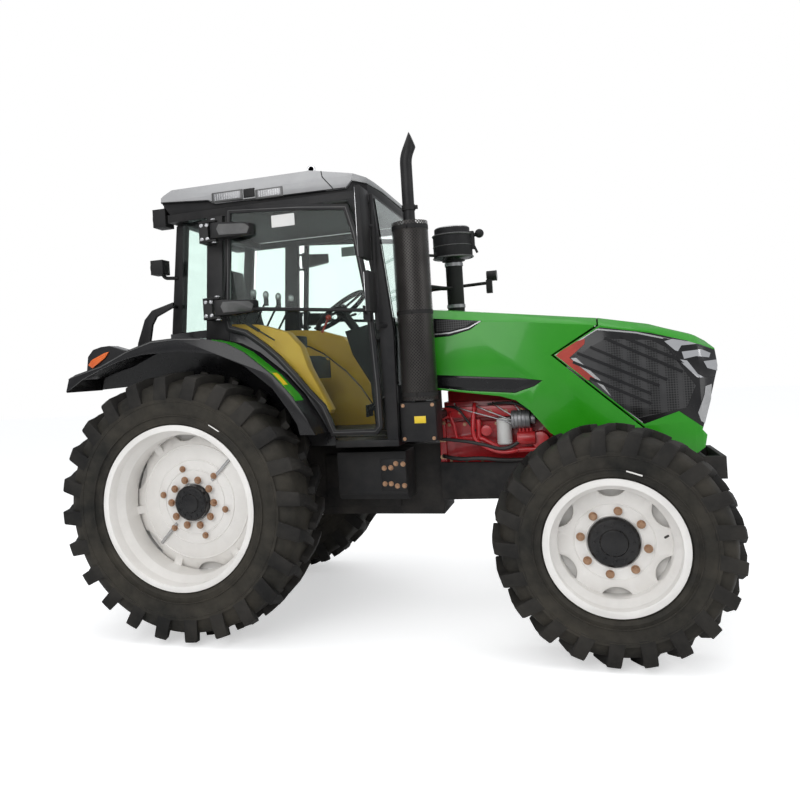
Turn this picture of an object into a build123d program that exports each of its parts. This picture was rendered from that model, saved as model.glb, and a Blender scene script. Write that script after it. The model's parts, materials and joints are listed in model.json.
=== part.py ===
"""Four-wheel-drive farm tractor with a cab, as separate pieces in one frame.

X runs forward, Y to the tractor's left and Z up, in millimetres. The shapes are drawn with
X measured from the rear axle and Z from the ground, and save() moves them to the row's
frame, whose origin is on the ground under the middle of the overall length.
"""
from build123d import *
import math
import os

# ---- driving dimensions -----------------------------------------------------------------
WHEELBASE = 2480
FRONT_END = 3130            # front face of the weight bracket
REAR_END = -950             # rear end of the lower links' ball ends
MID_X = (FRONT_END + REAR_END) / 2

REAR_AXLE_Z = 830           # equal to the rear tyre's radius
FRONT_AXLE_Z = 625          # equal to the front tyre's radius
REAR_TRACK_HALF = 860       # from the middle plane to a rear tyre's middle
FRONT_TRACK_HALF = 900
PIVOT_Z = 705               # front axle's pivot pin, above the beam's middle
KINGPIN_Y = 705             # from the middle plane to a steering axis

# name: crown radius, shoulder radius, width, lug height, lugs a side, rim flange radius, rim width
REAR_TYRE = dict(crown=830, shoulder=806, width=466, lug=46, lugs=24, flange=508, rim=430, sides=24, turn=0)
FRONT_TYRE = dict(crown=625, shoulder=603, width=372, lug=40, lugs=21, flange=356, rim=330, sides=21, turn=5)

SEAT_DEPTH = 26             # from a rim flange's edge down to its bead seat
RUN = 6                     # gap between a moving piece and what it passes

DOOR_AXIS = (255, 862)      # door hinge pins, X and distance from the middle plane
NOSE_AXIS = (2430, 1833)    # nose lid's hinge line, X and Z
HINGE_Y = 110               # nose hinges' distance from the middle plane
GLASS = 6                   # thickness of every pane
PANEL = 4                   # thickness of the bonnet's panels
CAB_SIDE = 740              # outer face of the cab's pillars

os.makedirs("parts", exist_ok=True)


# ---- helpers ----------------------------------------------------------------------------
def save(name, shape):
    """Write one node, moved from the rear axle's frame to the row's frame."""
    export_step(Pos(-MID_X, 0, 0) * shape, f"parts/{name}.step")


def box(x0, x1, y0, y1, z0, z1):
    middle = Pos((x0 + x1) / 2, (y0 + y1) / 2, (z0 + z1) / 2)
    return middle * Box(x1 - x0, y1 - y0, z1 - z0)


def plate_xz(points, y0, y1):
    """A plate with its outline in the X-Z plane, from y0 to y1."""
    outline = Polyline(*[(x, y0, z) for x, z in points], close=True)
    return extrude(make_face(outline), amount=y1 - y0, dir=(0, 1, 0))


def plate_xy(points, z0, z1):
    outline = Polyline(*[(x, y, z0) for x, y in points], close=True)
    return extrude(make_face(outline), amount=z1 - z0, dir=(0, 0, 1))


def plate_yz(points, x0, x1):
    outline = Polyline(*[(x0, y, z) for y, z in points], close=True)
    return extrude(make_face(outline), amount=x1 - x0, dir=(1, 0, 0))


def rod(start, end, radius):
    """A round bar between two points."""
    a, b = Vector(*start), Vector(*end)
    return Plane(origin=(a + b) * 0.5, z_dir=b - a) * Cylinder(radius, (b - a).length)


def tube(points, radius, bend):
    """A round bar along straight runs joined by tangent arcs."""
    path = FilletPolyline(*points, radius=bend)
    return sweep(Plane(origin=path @ 0, z_dir=path % 0) * Circle(radius), path=path)


def ring_y(points):
    """A solid of revolution about the Y axis from (radius, y) points."""
    outline = Polyline(*[(radius, y, 0) for radius, y in points], close=True)
    return revolve(make_face(outline), axis=Axis.Y)


def around_y(shape, count, first=0):
    """Copies of a shape, evenly turned about the Y axis."""
    return [Rot(0, first + index * 360 / count, 0) * shape for index in range(count)]


def left_of(shape):
    """The same piece for the tractor's left side."""
    return mirror(shape, about=Plane.XZ)


def both(shape):
    return shape + left_of(shape)


# ---- wheels, drawn on the Y axis with the outer side towards -Y ----------------------------
def tyre(crown, shoulder, width, lug, lugs, flange, rim, sides, turn):
    """Carcass of flat facets swept round the wheel, with chevron bars whose noses lead at the top."""
    half = width / 2
    bead = flange - SEAT_DEPTH + 0.5
    path = Rot(0, turn, 0) * Rot(90, 0, 0) * RegularPolygon(bead, sides, major_radius=False)
    loop = path.faces()[0].outer_wire()
    start = loop.edges()[0] @ 0.5
    outward = Vector(start.X, 0, start.Z).normalized()
    section = [
        (bead, -rim / 2 + 15),
        ((flange + shoulder) / 2, -half + 4),
        (shoulder - lug + 6, -half + 8),
        (crown - lug, 0),
        (shoulder - lug + 6, half - 8),
        ((flange + shoulder) / 2, half - 4),
        (bead, rim / 2 - 15),
    ]
    outline = Wire.make_polygon([outward * radius + Vector(0, y, 0) for radius, y in section])
    carcass = sweep(sections=Face(outline), path=loop, transition=Transition.RIGHT)
    near = tread_bar(crown, shoulder, half, lug)
    return carcass.fuse(*around_y(near, lugs), *around_y(left_of(near), lugs, first=180 / lugs))


def tread_bar(crown, shoulder, half, lug):
    """One straight bar from the middle of the tread out to the right shoulder."""
    nose = 0.094 * crown
    tail = 0.078 * crown
    outline = make_face(Polyline((nose + 18, 2), (nose - 30, 2), (-tail - 34, 9 - half),
                                 (-tail + 34, 9 - half), close=True))
    top = math.sqrt(crown ** 2 - (nose + 18) ** 2)
    foot = 0.99 * (crown - lug) - 26
    bar = Pos(0, 0, foot) * extrude(outline, top - foot)
    slope = Plane(origin=(0, -0.35 * half, top), x_dir=(1, 0, 0),
                  z_dir=Vector(0, shoulder - crown, 0.65 * half).normalized())
    return split(bar, bisect_by=slope, keep=Keep.BOTTOM)


def rim_ring(flange, rim, well):
    """Dropped-centre rim: two flanges, bead seats and a deeper well, as one rolled section."""
    half = rim / 2
    seat = flange - SEAT_DEPTH
    outer = [(flange, -half), (flange, -half + 8), (seat, -half + 8), (seat, -half * 0.6),
             (seat - well, -half * 0.35), (seat - well, half * 0.35), (seat, half * 0.6),
             (seat, half - 8), (flange, half - 8), (flange, half)]
    inner = [(seat - 10, half), (seat - 10, half * 0.6), (seat - well - 10, half * 0.35),
             (seat - well - 10, -half * 0.35), (seat - 10, -half * 0.6), (seat - 10, -half)]
    return ring_y(outer + inner)


def rear_disc():
    """Dished wheel disc with six scallops in its edge, a raised ring and six rim bolts."""
    disc = ring_y([(112, 30), (112, 46), (200, 46), (260, 62), (360, 62), (448, 112),
                   (448, 96), (364, 46), (268, 46), (208, 30)])
    scallop = Pos(510, 80, 0) * Rot(90, 0, 0) * Cylinder(120, 160)
    disc -= around_y(scallop, 6, first=22)
    bolt = Pos(220, 30, 0) * Rot(90, 0, 0) * Cylinder(13, 24)
    nut = Pos(148, 14, 0) * Rot(90, 0, 0) * extrude(RegularPolygon(17, 6), 18, both=True)
    lug = box(300, 452, 58, 118, -26, 26)
    return disc + around_y(lug, 6, first=52) + around_y(bolt, 6, first=12) + around_y(nut, 10)


def front_disc():
    """Flat disc with six concave edges between six rim lugs."""
    disc = ring_y([(132, -4), (132, 12), (200, 12), (292, 26), (292, 10), (206, -4)])
    bay = Pos(330, 0, 0) * Rot(90, 0, 0) * Cylinder(92, 120)
    disc -= around_y(bay, 6, first=30)
    lug = box(222, 312, 8, 52, -42, 42)
    nut = Pos(168, -14, 0) * Rot(90, 0, 0) * extrude(RegularPolygon(16, 6), 14, both=True)
    return disc + around_y(lug, 6) + around_y(nut, 8, first=10)


def hub(radius, face, back, flange_radius, studs):
    """Black hub cap with a bolted rim and a stepped centre; face and back are along Y."""
    depth = back - face
    cap = ring_y([(0, face), (radius * 0.5, face), (radius * 0.56, face + 10), (radius * 0.9, face + 10),
                  (radius, face + 22), (radius, back - depth * 0.3), (flange_radius, back - depth * 0.3),
                  (flange_radius, back), (0, back)])
    stud = Pos(radius * 0.76, face + 8, 0) * Rot(90, 0, 0) * Cylinder(8, 12)
    return cap + around_y(stud, studs)


def place_wheel(name, at, shapes):
    """Write a wheel's pieces on the right, and their mirror images on the left."""
    for piece, shape in shapes.items():
        right = Pos(*at) * shape
        save(f"{name}_{piece}_right", right)
        save(f"{name}_{piece}_left", left_of(right))


place_wheel("rear", (0, -REAR_TRACK_HALF, REAR_AXLE_Z), dict(
    tyre=tyre(**REAR_TYRE),
    rim=rim_ring(REAR_TYRE["flange"], REAR_TYRE["rim"], 34) + rear_disc(),
    hub=hub(110, -45, 250, 111, 12),
))
place_wheel("front", (WHEELBASE, -FRONT_TRACK_HALF, FRONT_AXLE_Z), dict(
    tyre=tyre(**FRONT_TYRE),
    rim=rim_ring(FRONT_TYRE["flange"], FRONT_TYRE["rim"], 34) + front_disc(),
    hub=hub(131, -45, 70, 131.5, 12),
))


# ---- driveline and frame ------------------------------------------------------------------
def rear_axle():
    """Rear transmission case with a trumpet housing out to each wheel hub."""
    case = box(-230, 420, -230, 230, 560, 1080) + box(-260, -230, -160, 160, 600, 1040)
    lift_cover = box(-250, 150, -190, 190, 1080, 1210)
    link_ears = both(box(-160, -60, -270, -230, 440, 600) - rod((-110, -300, 490), (-110, 300, 490), 15.2))
    top_ears = both(box(-310, -260, -52, -32, 860, 1010)) - rod((-287, -60, 960), (-287, 60, 960), 12.85)
    drawbar_cage = box(-230, -60, -90, 90, 400, 560) - box(-240, -50, -40, 40, 418, 456)
    trumpet = Rot(90, 0, 0) * Cone(150, 105, 350)
    flange = Rot(90, 0, 0) * Cylinder(165, 30)
    at_right = Pos(0, -400, REAR_AXLE_Z) * trumpet + Pos(0, -590, REAR_AXLE_Z) * flange
    return case + lift_cover + link_ears + top_ears + drawbar_cage + both(at_right)


def gearbox():
    case = box(420, 1480, -210, 210, 640, 1100)
    return case + box(700, 1200, -240, 240, 700, 1040)


def front_frame():
    """Cast carrier under the engine, from the clutch case to the weight bracket."""
    rails = both(plate_xz([(1480, 740), (1480, 980), (2900, 960), (3060, 900), (3060, 800), (2700, 760)],
                          -262, -232))
    floor = box(1500, 2180, -232, 232, 760, 780)
    nose = box(2760, 3036, -232, 232, 790, 930)
    bracket = box(3000, FRONT_END, -300, 300, 860, 990) - box(3025, 3105, -270, 270, 890, 991)
    bracket -= Pos(3065, 0, 875) * Cylinder(16, 60)
    bridge = box(2290, 2670, -232, 232, 790, 830)
    hangers = box(2300, 2336, -95, 95, 650, 790) + box(2624, 2660, -95, 95, 650, 790)
    hangers -= rod((2290, 0, PIVOT_Z), (2670, 0, PIVOT_Z), 32.3)
    return rails + floor + nose + bracket + bridge + hangers


def front_axle():
    """Driven axle beam on its centre pivot, with a forked end at each steering knuckle."""
    beam = plate_yz([(-600, 585), (-600, 665), (-200, 690), (200, 690), (600, 665), (600, 585),
                     (200, 560), (-200, 560)], WHEELBASE - 70, WHEELBASE + 70)
    bowl = Pos(WHEELBASE, 60, FRONT_AXLE_Z) * Rot(90, 0, 0) * Cylinder(135, 150)
    pivot = rod((2300, 0, PIVOT_Z), (2660, 0, PIVOT_Z), 32)
    arm_top = box(WHEELBASE - 55, WHEELBASE + 55, -760, -580, 728, 758)
    arm_low = box(WHEELBASE - 55, WHEELBASE + 55, -760, -580, 492, 522)
    web = box(WHEELBASE - 60, WHEELBASE + 60, -612, -580, 492, 758)
    fork = both(arm_top + arm_low + web)
    cylinder = Pos(WHEELBASE - 110, 0, 600) * Rot(90, 0, 0) * Cylinder(32, 520)
    clamp = both(box(WHEELBASE - 110, WHEELBASE - 60, -240, -200, 590, 640))
    return beam + bowl + pivot + fork + cylinder + clamp


def knuckle():
    """Swivel housing between the fork's ears, with its spindle out to the wheel."""
    drum = Pos(WHEELBASE, -KINGPIN_Y, FRONT_AXLE_Z) * Cylinder(80, 190)
    spindle = Pos(WHEELBASE, -780, FRONT_AXLE_Z) * Rot(90, 0, 0) * Cylinder(92, 90)
    tie = box(WHEELBASE - 190, WHEELBASE - 60, -KINGPIN_Y - 22, -KINGPIN_Y + 22, 560, 585)
    return drum + spindle + tie


save("gearbox", gearbox())
save("front_frame", front_frame())
save("front_axle", front_axle())
save("knuckle_right", knuckle())
save("knuckle_left", left_of(knuckle()))


# ---- engine ---------------------------------------------------------------------------------
def engine():
    """Inline engine: sump, crankcase, head and rocker cover, with the injection side bare."""
    sump = box(1520, 2120, -150, 150, 830, 960)
    block = box(1490, 2180, -190, 190, 960, 1230)
    head = box(1510, 2150, -160, 160, 1230, 1360)
    cover = box(1530, 2130, -110, 110, 1360, 1430)
    housing = box(1480, 1520, -228, 228, 860, 1260)
    ports = [box(x, x + 60, -215, -160, 1255, 1325) for x in range(1560, 2100, 95)]
    manifold = box(1484, 2110, -262, -214, 1262, 1330)
    return sump + block + head + cover + housing + ports + manifold


def engine_pipes():
    """Water pipe, fuel rail and the pump on the engine's right side."""
    rail = tube([(1560, -290, 1130), (1760, -290, 1130), (1880, -290, 1050), (2110, -290, 1056)], 16, 60)
    riser = rod((1740, -290, 1250), (1740, -290, 1130), 17)
    stubs = [rod((x, -190, z), (x, -290, z), 15) for x, z in ((1600, 1130), (2060, 1054))]
    pump = rod((2110, -190, 1110), (2110, -300, 1110), 52)
    return rail + riser + stubs + pump


def filters():
    """Spin-on oil and fuel filters, hanging from their heads on the block's side."""
    can = Pos(1895, -262, 1165) * Cylinder(46, 150)
    head = box(1855, 1935, -300, -191, 1240, 1254)
    return can + head


def radiator():
    core = box(2290, 2390, -330, 330, 990, 1600)
    tank = box(2280, 2400, -300, 300, 1600, 1660)
    fan = Pos(2236, 0, 1290) * Rot(0, 90, 0) * Cylinder(240, 26)
    shaft = Pos(2200, 0, 1290) * Rot(0, 90, 0) * Cylinder(30, 60)
    return core + tank + fan + shaft


save("engine", engine() + engine_pipes())
save("filters", filters())
save("radiator", radiator())


# ---- bonnet -----------------------------------------------------------------------------------
INTAKE_AT = (1600, 40)      # the intake stack's axis
EXHAUST_AT = (1446, -635)   # the exhaust stack's axis

# station X: height on the centre line, half-width and height of the flat top's edge, and of the crease
BONNET = [
    (1500, 1980, 345, 1958, 420, 1886),
    (2040, 1906, 345, 1889, 420, 1840),
    (2490, 1846, 345, 1830, 420, 1784),
    (2760, 1792, 318, 1776, 400, 1722),
    (3010, 1712, 262, 1692, 345, 1632),
    (3190, 1600, 190, 1578, 270, 1520),
]


def bonnet_core(inset):
    """Solid under the bonnet's skin, pulled in by inset: a ruled loft through the stations."""
    sections = []
    for x, centre, edge, edge_z, crease, crease_z in BONNET:
        right = [(-crease + inset, 900), (-crease + inset, crease_z - inset),
                 (-edge + inset / 2, edge_z - inset), (0, centre - inset)]
        left = [(-y, z) for y, z in reversed(right[:-1])]
        outline = Polyline(*[(x, y, z) for y, z in right + left], close=True)
        sections.append(make_face(outline))
    return loft(sections, ruled=True)


# outlines in X and Z
NOSE_FRONT = [(2975, 1018), (3020, 1050), (3036, 1118), (3010, 1150), (3064, 1309), (3092, 1402),
              (3125, 1510), (3112, 1613), (3018, 1700), (2900, 1900)]
NOSE_SIDE = [(2482, 1900), (2482, 1780), (2222, 1626), (2700, 1180), (2700, 1050)] + NOSE_FRONT
REAR_SIDE = [(1500, 2000), (1500, 1455), (1714, 1423), (1894, 1396), (1987, 1367), (2065, 1303),
             (2173, 1167), (2320, 1050), (2690, 1050), (2690, 1176), (2206, 1627), (2474, 1790), (2474, 2000)]
GRILLE_SIDE = [(2232, 1626), (2490, 1772), (2760, 1722), (2965, 1662), (2905, 1560), (3000, 1452),
               (3200, 1440), (3200, 1165), (3012, 1165), (2890, 1262), (2700, 1196)]
LAMP_SIDE = [(2825, 1690), (3024, 1640), (3110, 1603), (3200, 1600), (3200, 1440), (3000, 1452), (2905, 1560)]
VENT_SIDE = [(1510, 1900), (1815, 1862), (1740, 1812), (1615, 1782), (1510, 1778)]
STRIPE_SIDE = [(1519, 1545), (2020, 1500), (2150, 1478), (2100, 1446), (1985, 1411), (1717, 1436), (1515, 1464)]
NOSE_PLAN = [(2100, -430), (2490, -425), (3010, -348), (3120, -240), (3170, -90), (3170, 90),
             (3120, 240), (3010, 348), (2490, 425), (2100, 430)]


def bonnet_skin(side):
    """The part of the bonnet inside one side outline, as a thin shell open at the bottom."""
    cut = plate_xz(side, -500, 500)
    return (bonnet_core(0) & cut) - bonnet_core(PANEL)


def rear_bonnet():
    """Fixed bonnet behind the seam, with its upper vent, lower stripe and the nose's hinge ears."""
    skin = bonnet_skin(REAR_SIDE)
    recess = both(plate_xz(VENT_SIDE, -430, -380)) + both(plate_xz(STRIPE_SIDE, -430, -380))
    vents = both(plate_xz(VENT_SIDE, -412, -400)) + both(plate_xz(STRIPE_SIDE, -412, -400))
    bulkhead = box(1500, 1506, -395, 395, 1440, 1870)
    skin -= Pos(*INTAKE_AT, 1950) * Cylinder(61, 300)
    x, z = NOSE_AXIS
    ear = box(x - 12, x + 12, -HINGE_Y - 12, -HINGE_Y - 7, z - 10, z + 13)
    ears = ear + Pos(0, 19, 0) * ear + rod((x, -HINGE_Y - 14, z), (x, -HINGE_Y + 14, z), 4)
    return skin - recess + both(ears), vents + bulkhead


def nose_arm():
    """Cranked hinge arm that swings under the fixed bonnet's front lip."""
    x, z = NOSE_AXIS
    side = [(-9, 0), (14, -66), (94, -62), (94, -1), (70, 4), (70, -42), (26, -42), (9, 0)]
    arm = plate_xz([(x + dx, z + dz) for dx, dz in side], -HINGE_Y - 4, -HINGE_Y + 4)
    arm += rod((x, -HINGE_Y - 4, z), (x, -HINGE_Y + 4, z), 9)
    return arm - rod((x, -HINGE_Y - 20, z), (x, -HINGE_Y + 20, z), 4.3)


def nose():
    """Tilting nose: green shell, black grilles round the front, and headlamps."""
    shell = bonnet_core(0) & plate_xz(NOSE_SIDE, -500, 500) & plate_xy(NOSE_PLAN, 900, 2100)
    front = [(x - 6, z) for x, z in NOSE_FRONT]
    hollow = bonnet_core(PANEL) & plate_xz([(2100, 2000), (2100, 800), (2969, 800)] + front, -500, 500)
    hollow &= plate_xy([(x - 6, y * 0.988) for x, y in NOSE_PLAN], 800, 1990)
    skin = shell - hollow
    window = plate_xz(GRILLE_SIDE, -500, 500) + box(2940, 3200, -150, 150, 1165, 1600)
    lamp_hole = both(plate_xz(LAMP_SIDE, -500, -150))
    grille = (skin & window) - lamp_hole
    reflector = bonnet_core(60) & plate_xy([(x - 70, y * 0.8) for x, y in NOSE_PLAN], 800, 1900)
    lamps = (shell & lamp_hole) - reflector
    return skin - window - lamp_hole + both(nose_arm()), grille, lamps


bonnet, bonnet_vents = rear_bonnet()
save("bonnet_rear", bonnet)
save("bonnet_vents", bonnet_vents)
nose_shell, side_grilles, headlamps = nose()
save("nose_shell", nose_shell)
save("side_grilles", side_grilles)
save("headlamps", headlamps)


# ---- exhaust and air intake -----------------------------------------------------------------------
def exhaust_guard():
    """Perforated heat guard: a sleeve round the silencer, closed at its foot."""
    sleeve = Cylinder(108, 1070) - Cylinder(102, 1080)
    foot = Pos(0, 0, -532) * Cylinder(103, 6) - Cylinder(37, 1200)
    return Pos(*EXHAUST_AT, 1940) * (sleeve + foot)


def exhaust_pipe():
    """Silencer and stack with its curved mouth, and the box and feed pipe below."""
    x, y = EXHAUST_AT
    stack = tube([(x, y, 1380), (x, y, 2870), (x + 64, y, 3013)], 36, 190)
    silencer = Pos(x, y, 1940) * Cylinder(84, 960)
    case = box(1335, 1545, -700, -480, 1160, 1394)
    feed = rod((1515, -262, 1296), (1515, -480, 1296), 30)
    return stack + silencer + case + feed


def air_intake():
    """Intake stack with a round pre-cleaner bowl on top."""
    pipe = Cylinder(56, 560)
    bowl = Pos(0, 0, 260) * Cylinder(130, 150)
    lid = Pos(0, 0, 358) * Cylinder(118, 46)
    collar = Pos(0, 0, 175) * Cylinder(76, 30)
    return Pos(*INTAKE_AT, 2140) * (pipe + bowl + lid + collar)


save("exhaust_guard", exhaust_guard())
save("exhaust_pipe", exhaust_pipe())
save("air_intake", air_intake())


# ---- cab ----------------------------------------------------------------------------------------------
FLOOR_Z = 1180              # foot floor
DECK_Z = 1360               # raised deck under the seat
BELT_Z = 1920               # lower edge of the rear glass
HEAD_Z = 2640               # top of the glass

# outlines in X and Z: the wing's upper line, the lower line of its lip, and the door's lower edge
WING_TOP = [(890, 1245), (844, 1338), (758, 1475), (646, 1604), (470, 1752), (353, 1815), (188, 1857),
            (17, 1869), (-158, 1862), (-330, 1812), (-529, 1728), (-720, 1680), (-770, 1655), (-795, 1574)]
WING_LOW = [(797, 1245), (783, 1307), (729, 1399), (641, 1526), (466, 1672), (282, 1753), (47, 1784),
            (-223, 1780), (-358, 1758), (-515, 1710), (-664, 1650), (-746, 1600)]
DOOR_EDGE = [(250, 1960), (262, 1903), (379, 1867), (503, 1774), (588, 1697), (682, 1592), (780, 1470),
             (857, 1386), (900, 1276), (918, 1216)]


def nearer(points, distance):
    """The same outline points, moved towards the rear axle's centre in the X-Z plane."""
    moved = []
    for x, z in points:
        share = 1 - distance / math.hypot(x, z - REAR_AXLE_Z)
        moved.append((x * share, REAR_AXLE_Z + (z - REAR_AXLE_Z) * share))
    return moved


PILLAR_A = [(1094, HEAD_Z), (1176, 2453), (1242, 2016), (1256, FLOOR_Z), (1322, FLOOR_Z), (1330, 1834),
            (1246, HEAD_Z)]
PILLAR_B = [(156, HEAD_Z), (262, HEAD_Z), (226, 1985), (264, 1920), (264, 1838.5), (188, 1857.5), (104, 1863.5)]
PILLAR_C = [(-140, HEAD_Z), (-72, HEAD_Z), (-140, BELT_Z), (-218, BELT_Z)]
SCREEN_SIDE = [(1246, HEAD_Z), (1252, HEAD_Z), (1337, 1834), (1329, 1500), (1323, 1500), (1331, 1834)]
REAR_SIDE_GLASS = [(-212, BELT_Z), (-206, BELT_Z), (-130, HEAD_Z), (-136, HEAD_Z)]
QUARTER_PLAN = [(156, -738), (156, -732), (-163, -600), (-163, -606)]


def cab_base():
    """Floor, raised deck, rear wall and the wall under the windscreen."""
    floor = plate_xy([(330, -580), (900, -580), (930, -735), (1322, -735), (1322, 735), (930, 735),
                      (900, 580), (330, 580)], FLOOR_Z - 40, FLOOR_Z)
    riser = box(300, 330, -580, 580, FLOOR_Z - 40, DECK_Z)
    deck = box(-240, 300, -580, 580, DECK_Z - 30, DECK_Z)
    back = box(-240, -210, -566, 566, DECK_Z, BELT_Z)
    front = box(1292, 1322, -682, 682, FLOOR_Z, 1498)
    return floor + riser + deck + back + front


def cab_frame():
    """Six pillars joined by the rails and headers over the glass."""
    a = both(plate_xz(PILLAR_A, -CAB_SIDE, -CAB_SIDE + 55))
    b = both(plate_xz(PILLAR_B, -CAB_SIDE, -CAB_SIDE + 50))
    c = both(plate_xz(PILLAR_C, -600, -540))
    rails = both(box(-130, 1190, -735, -690, HEAD_Z, HEAD_Z + 50))
    headers = box(-130, -60, -690, 690, HEAD_Z, HEAD_Z + 50) + box(1140, 1190, -690, 690, HEAD_Z, HEAD_Z + 50)
    front = box(1190, 1246, -735, 735, HEAD_Z, HEAD_Z + 20)
    return a + b + c + rails + headers + front


ROOF_TOP = [(-205, 2785), (-210, 2806), (-185, 2838), (-135, 2874), (837, 2872), (1102, 2812), (1205, 2785),
            (1228, 2768), (1222, 2748), (1119, 2762), (1076, 2719), (662, 2724), (200, 2733), (150, 2758)]
ROOF_LINER = [(-130, 2690), (-195, 2784), (150, 2758), (200, 2733), (662, 2724), (1076, 2719), (1119, 2762),
              (1212, 2748), (1236, 2720), (1246, 2662), (1190, 2690)]
ROOF_PLAN = [(-230, -620), (-190, -705), (1120, -705), (1190, -620), (1228, -300), (1228, 300), (1190, 620),
             (1120, 705), (-190, 705), (-230, 620)]


def roof():
    """Pale roof shell with bevelled long edges and a rounded front, over its dark liner."""
    bevel = plate_yz([(-705, 2600), (-705, 2790), (-640, 2890), (640, 2890), (705, 2790), (705, 2600)],
                     -300, 1400)
    shell = plate_xz(ROOF_TOP, -705, 705) & bevel & plate_xy(ROOF_PLAN, 2600, 2900)
    liner = plate_xz(ROOF_LINER, -690, 690) & plate_xy([(x, y * 0.97) for x, y in ROOF_PLAN], 2600, 2900)
    eye = Pos(775, -420, 2938) * Rot(90, 0, 0) * Torus(22, 6)
    foot = Pos(775, -420, 2893) * Cylinder(10, 48)
    return shell, liner, eye + foot


def windscreen():
    return plate_xz(SCREEN_SIDE, -682, 682)


def rear_window():
    return plate_xz(REAR_SIDE_GLASS, -538, 538)


def quarter_glass():
    strip = plate_xy(QUARTER_PLAN, BELT_Z, HEAD_Z)
    side = plate_xz([(-138, BELT_Z), (103, BELT_Z), (154, HEAD_Z), (-70, HEAD_Z)], -760, -560)
    return both(strip & side)


def door():
    """Right door: a frame round its glass, with hinge arms, a pull bar and a latch handle."""
    outline = DOOR_EDGE + [(1200, 1216), (1240, 1256), (1238, 1500), (1214, 2020), (1152, 2440), (1104, 2606),
                           (796, 2642), (303, 2680)]
    face = make_face(Polyline(*[(x, -CAB_SIDE - RUN, z) for x, z in outline], close=True))
    pane = offset(face, -36, kind=Kind.INTERSECTION)
    frame = extrude(face, amount=30, dir=(0, -1, 0)) - extrude(pane, amount=30, dir=(0, -1, 0))
    glass = Pos(0, -12, 0) * extrude(pane, amount=GLASS, dir=(0, -1, 0))
    x, y = DOOR_AXIS
    outer = -CAB_SIDE - RUN - 30
    arms = Part()
    for z in HINGE_Z:
        arm = plate_xy([(262, outer), (494, outer), (474, outer - 42), (305, -y - 22), (x, -y - 22),
                        (x, -y + 22)], z - 48, z + 48) + Pos(x, -y, z) * Cylinder(22, 96)
        arm &= plate_xz([(x - 30, z - 48), (x + 60, z - 48), (x + 240, z - 34), (x + 240, z + 34),
                         (x + 60, z + 48), (x - 30, z + 48)], -y - 30, outer + 1)
        arms += arm - Pos(x, -y, z) * Cylinder(9.4, 120)
    bar = tube([(452, outer - 14, 2022), (486, outer - 40, 2019), (1184, outer - 40, 1957),
                (1196, outer - 2, 1956)], 11, 6)
    latch = box(1168, 1212, outer - 26, outer, 1890, 1985)
    return frame + arms + latch, glass, bar


def door_hinges():
    """Right pillar's hinge blocks, each with two ears and a pin for a door arm."""
    x, y = DOOR_AXIS
    pieces = Part()
    for z in HINGE_Z:
        block = box(150, 212, -y + 4, -CAB_SIDE, z - 68, z + 68)
        ears = [plate_xy([(150, -y + 24), (x + 20, -y + 24), (x + 20, -y - 20), (x - 20, -y - 20), (150, -y + 2)],
                         z + low, z + low + 14) for low in (-68, 54)]
        pin = Pos(x, -y, z) * Cylinder(9, 136)
        pieces += block + ears + pin
    return pieces


HINGE_Z = (2042, 2525)


def wing():
    """Right wing: arched top down to its tail, outer lip, lamp housing, inner wall and door sill."""
    top = plate_xz(WING_TOP + nearer(WING_TOP, 10)[::-1], -1000, -592)
    lip = plate_xz(WING_TOP + WING_LOW[::-1], -1000, -990)
    wall = plate_xz(nearer(WING_TOP, 4) + [(-400, 1590), (-240, 1560), (-240, DECK_Z - 30), (300, DECK_Z - 30),
                                           (300, FLOOR_Z - 40), (890, FLOOR_Z - 40)], -600, -592)
    sill = plate_xz([(264, 1925)] + nearer(DOOR_EDGE, -16)[2:] + nearer(WING_TOP, 6)[:6] + [(264, 1832)],
                    -738, -690)
    belt = plate_xy([(104, -733), (104, -721), (-240, -568), (-240, -580)], 1820, BELT_Z)
    belt &= plate_xz([(-240, BELT_Z), (104, BELT_Z), (104, 1856), (17, 1863), (-158, 1856), (-240, 1832)],
                     -760, -540)
    housing = plate_xz([(-640, 1697), (-626, 1791), (-586, 1834), (-525, 1849), (-465, 1852), (-350, 1815),
                        (-345, 1802), (-529, 1724)], -985, -880)
    return top + lip + wall + sill + belt + housing


def cab_trim():
    """Yellow covers over the wings' arches and liners beside the seat."""
    cover = [(170, 1950), (278, 1946), (442, 1932), (634, 1870), (720, 1769), (760, 1640), (892, 1369), (880, 1345)]
    cap = plate_xz(cover + nearer(WING_TOP, -2)[1:7] + [(170, 1862)], -678, -567)
    wall = plate_xz(nearer(WING_TOP, 12)[:9] + [(-200, 1830), (-200, DECK_Z), (332, DECK_Z), (332, FLOOR_Z),
                                                (880, FLOOR_Z)], -590, -582)
    kick = box(1240, 1290, -640, -200, FLOOR_Z, 1460)
    return both(cap + wall + kick)


def seat():
    """Suspension base, cushion and back with its head rest."""
    base = box(120, 520, -190, 190, DECK_Z, 1560)
    cushion = box(90, 620, -250, 250, 1560, 1690)
    back = plate_xz([(60, 1640), (90, 1560), (90, 1690), (190, 1690), (60, 2200), (-40, 2200)], -240, 240)
    head = plate_xz([(-30, 2200), (40, 2200), (10, 2380), (-60, 2380)], -130, 130)
    return base + cushion + back + head


def dash():
    """Steering pedestal with its instrument cowl, and the right-hand console."""
    pedestal = plate_xz([(1030, FLOOR_Z), (1238, FLOOR_Z), (1238, 1780), (1030, 1915), (850, 1875), (895, 1710),
                         (1010, 1511)], -110, 110)
    cowl = plate_xz([(1050, 1800), (1238, 1800), (1238, 1900), (1150, 1960)], -210, 210)
    console = plate_xz([(120, DECK_Z), (320, DECK_Z), (640, 1780), (640, 1850), (120, 1930)], -560, -310)
    return pedestal + cowl, console


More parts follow.
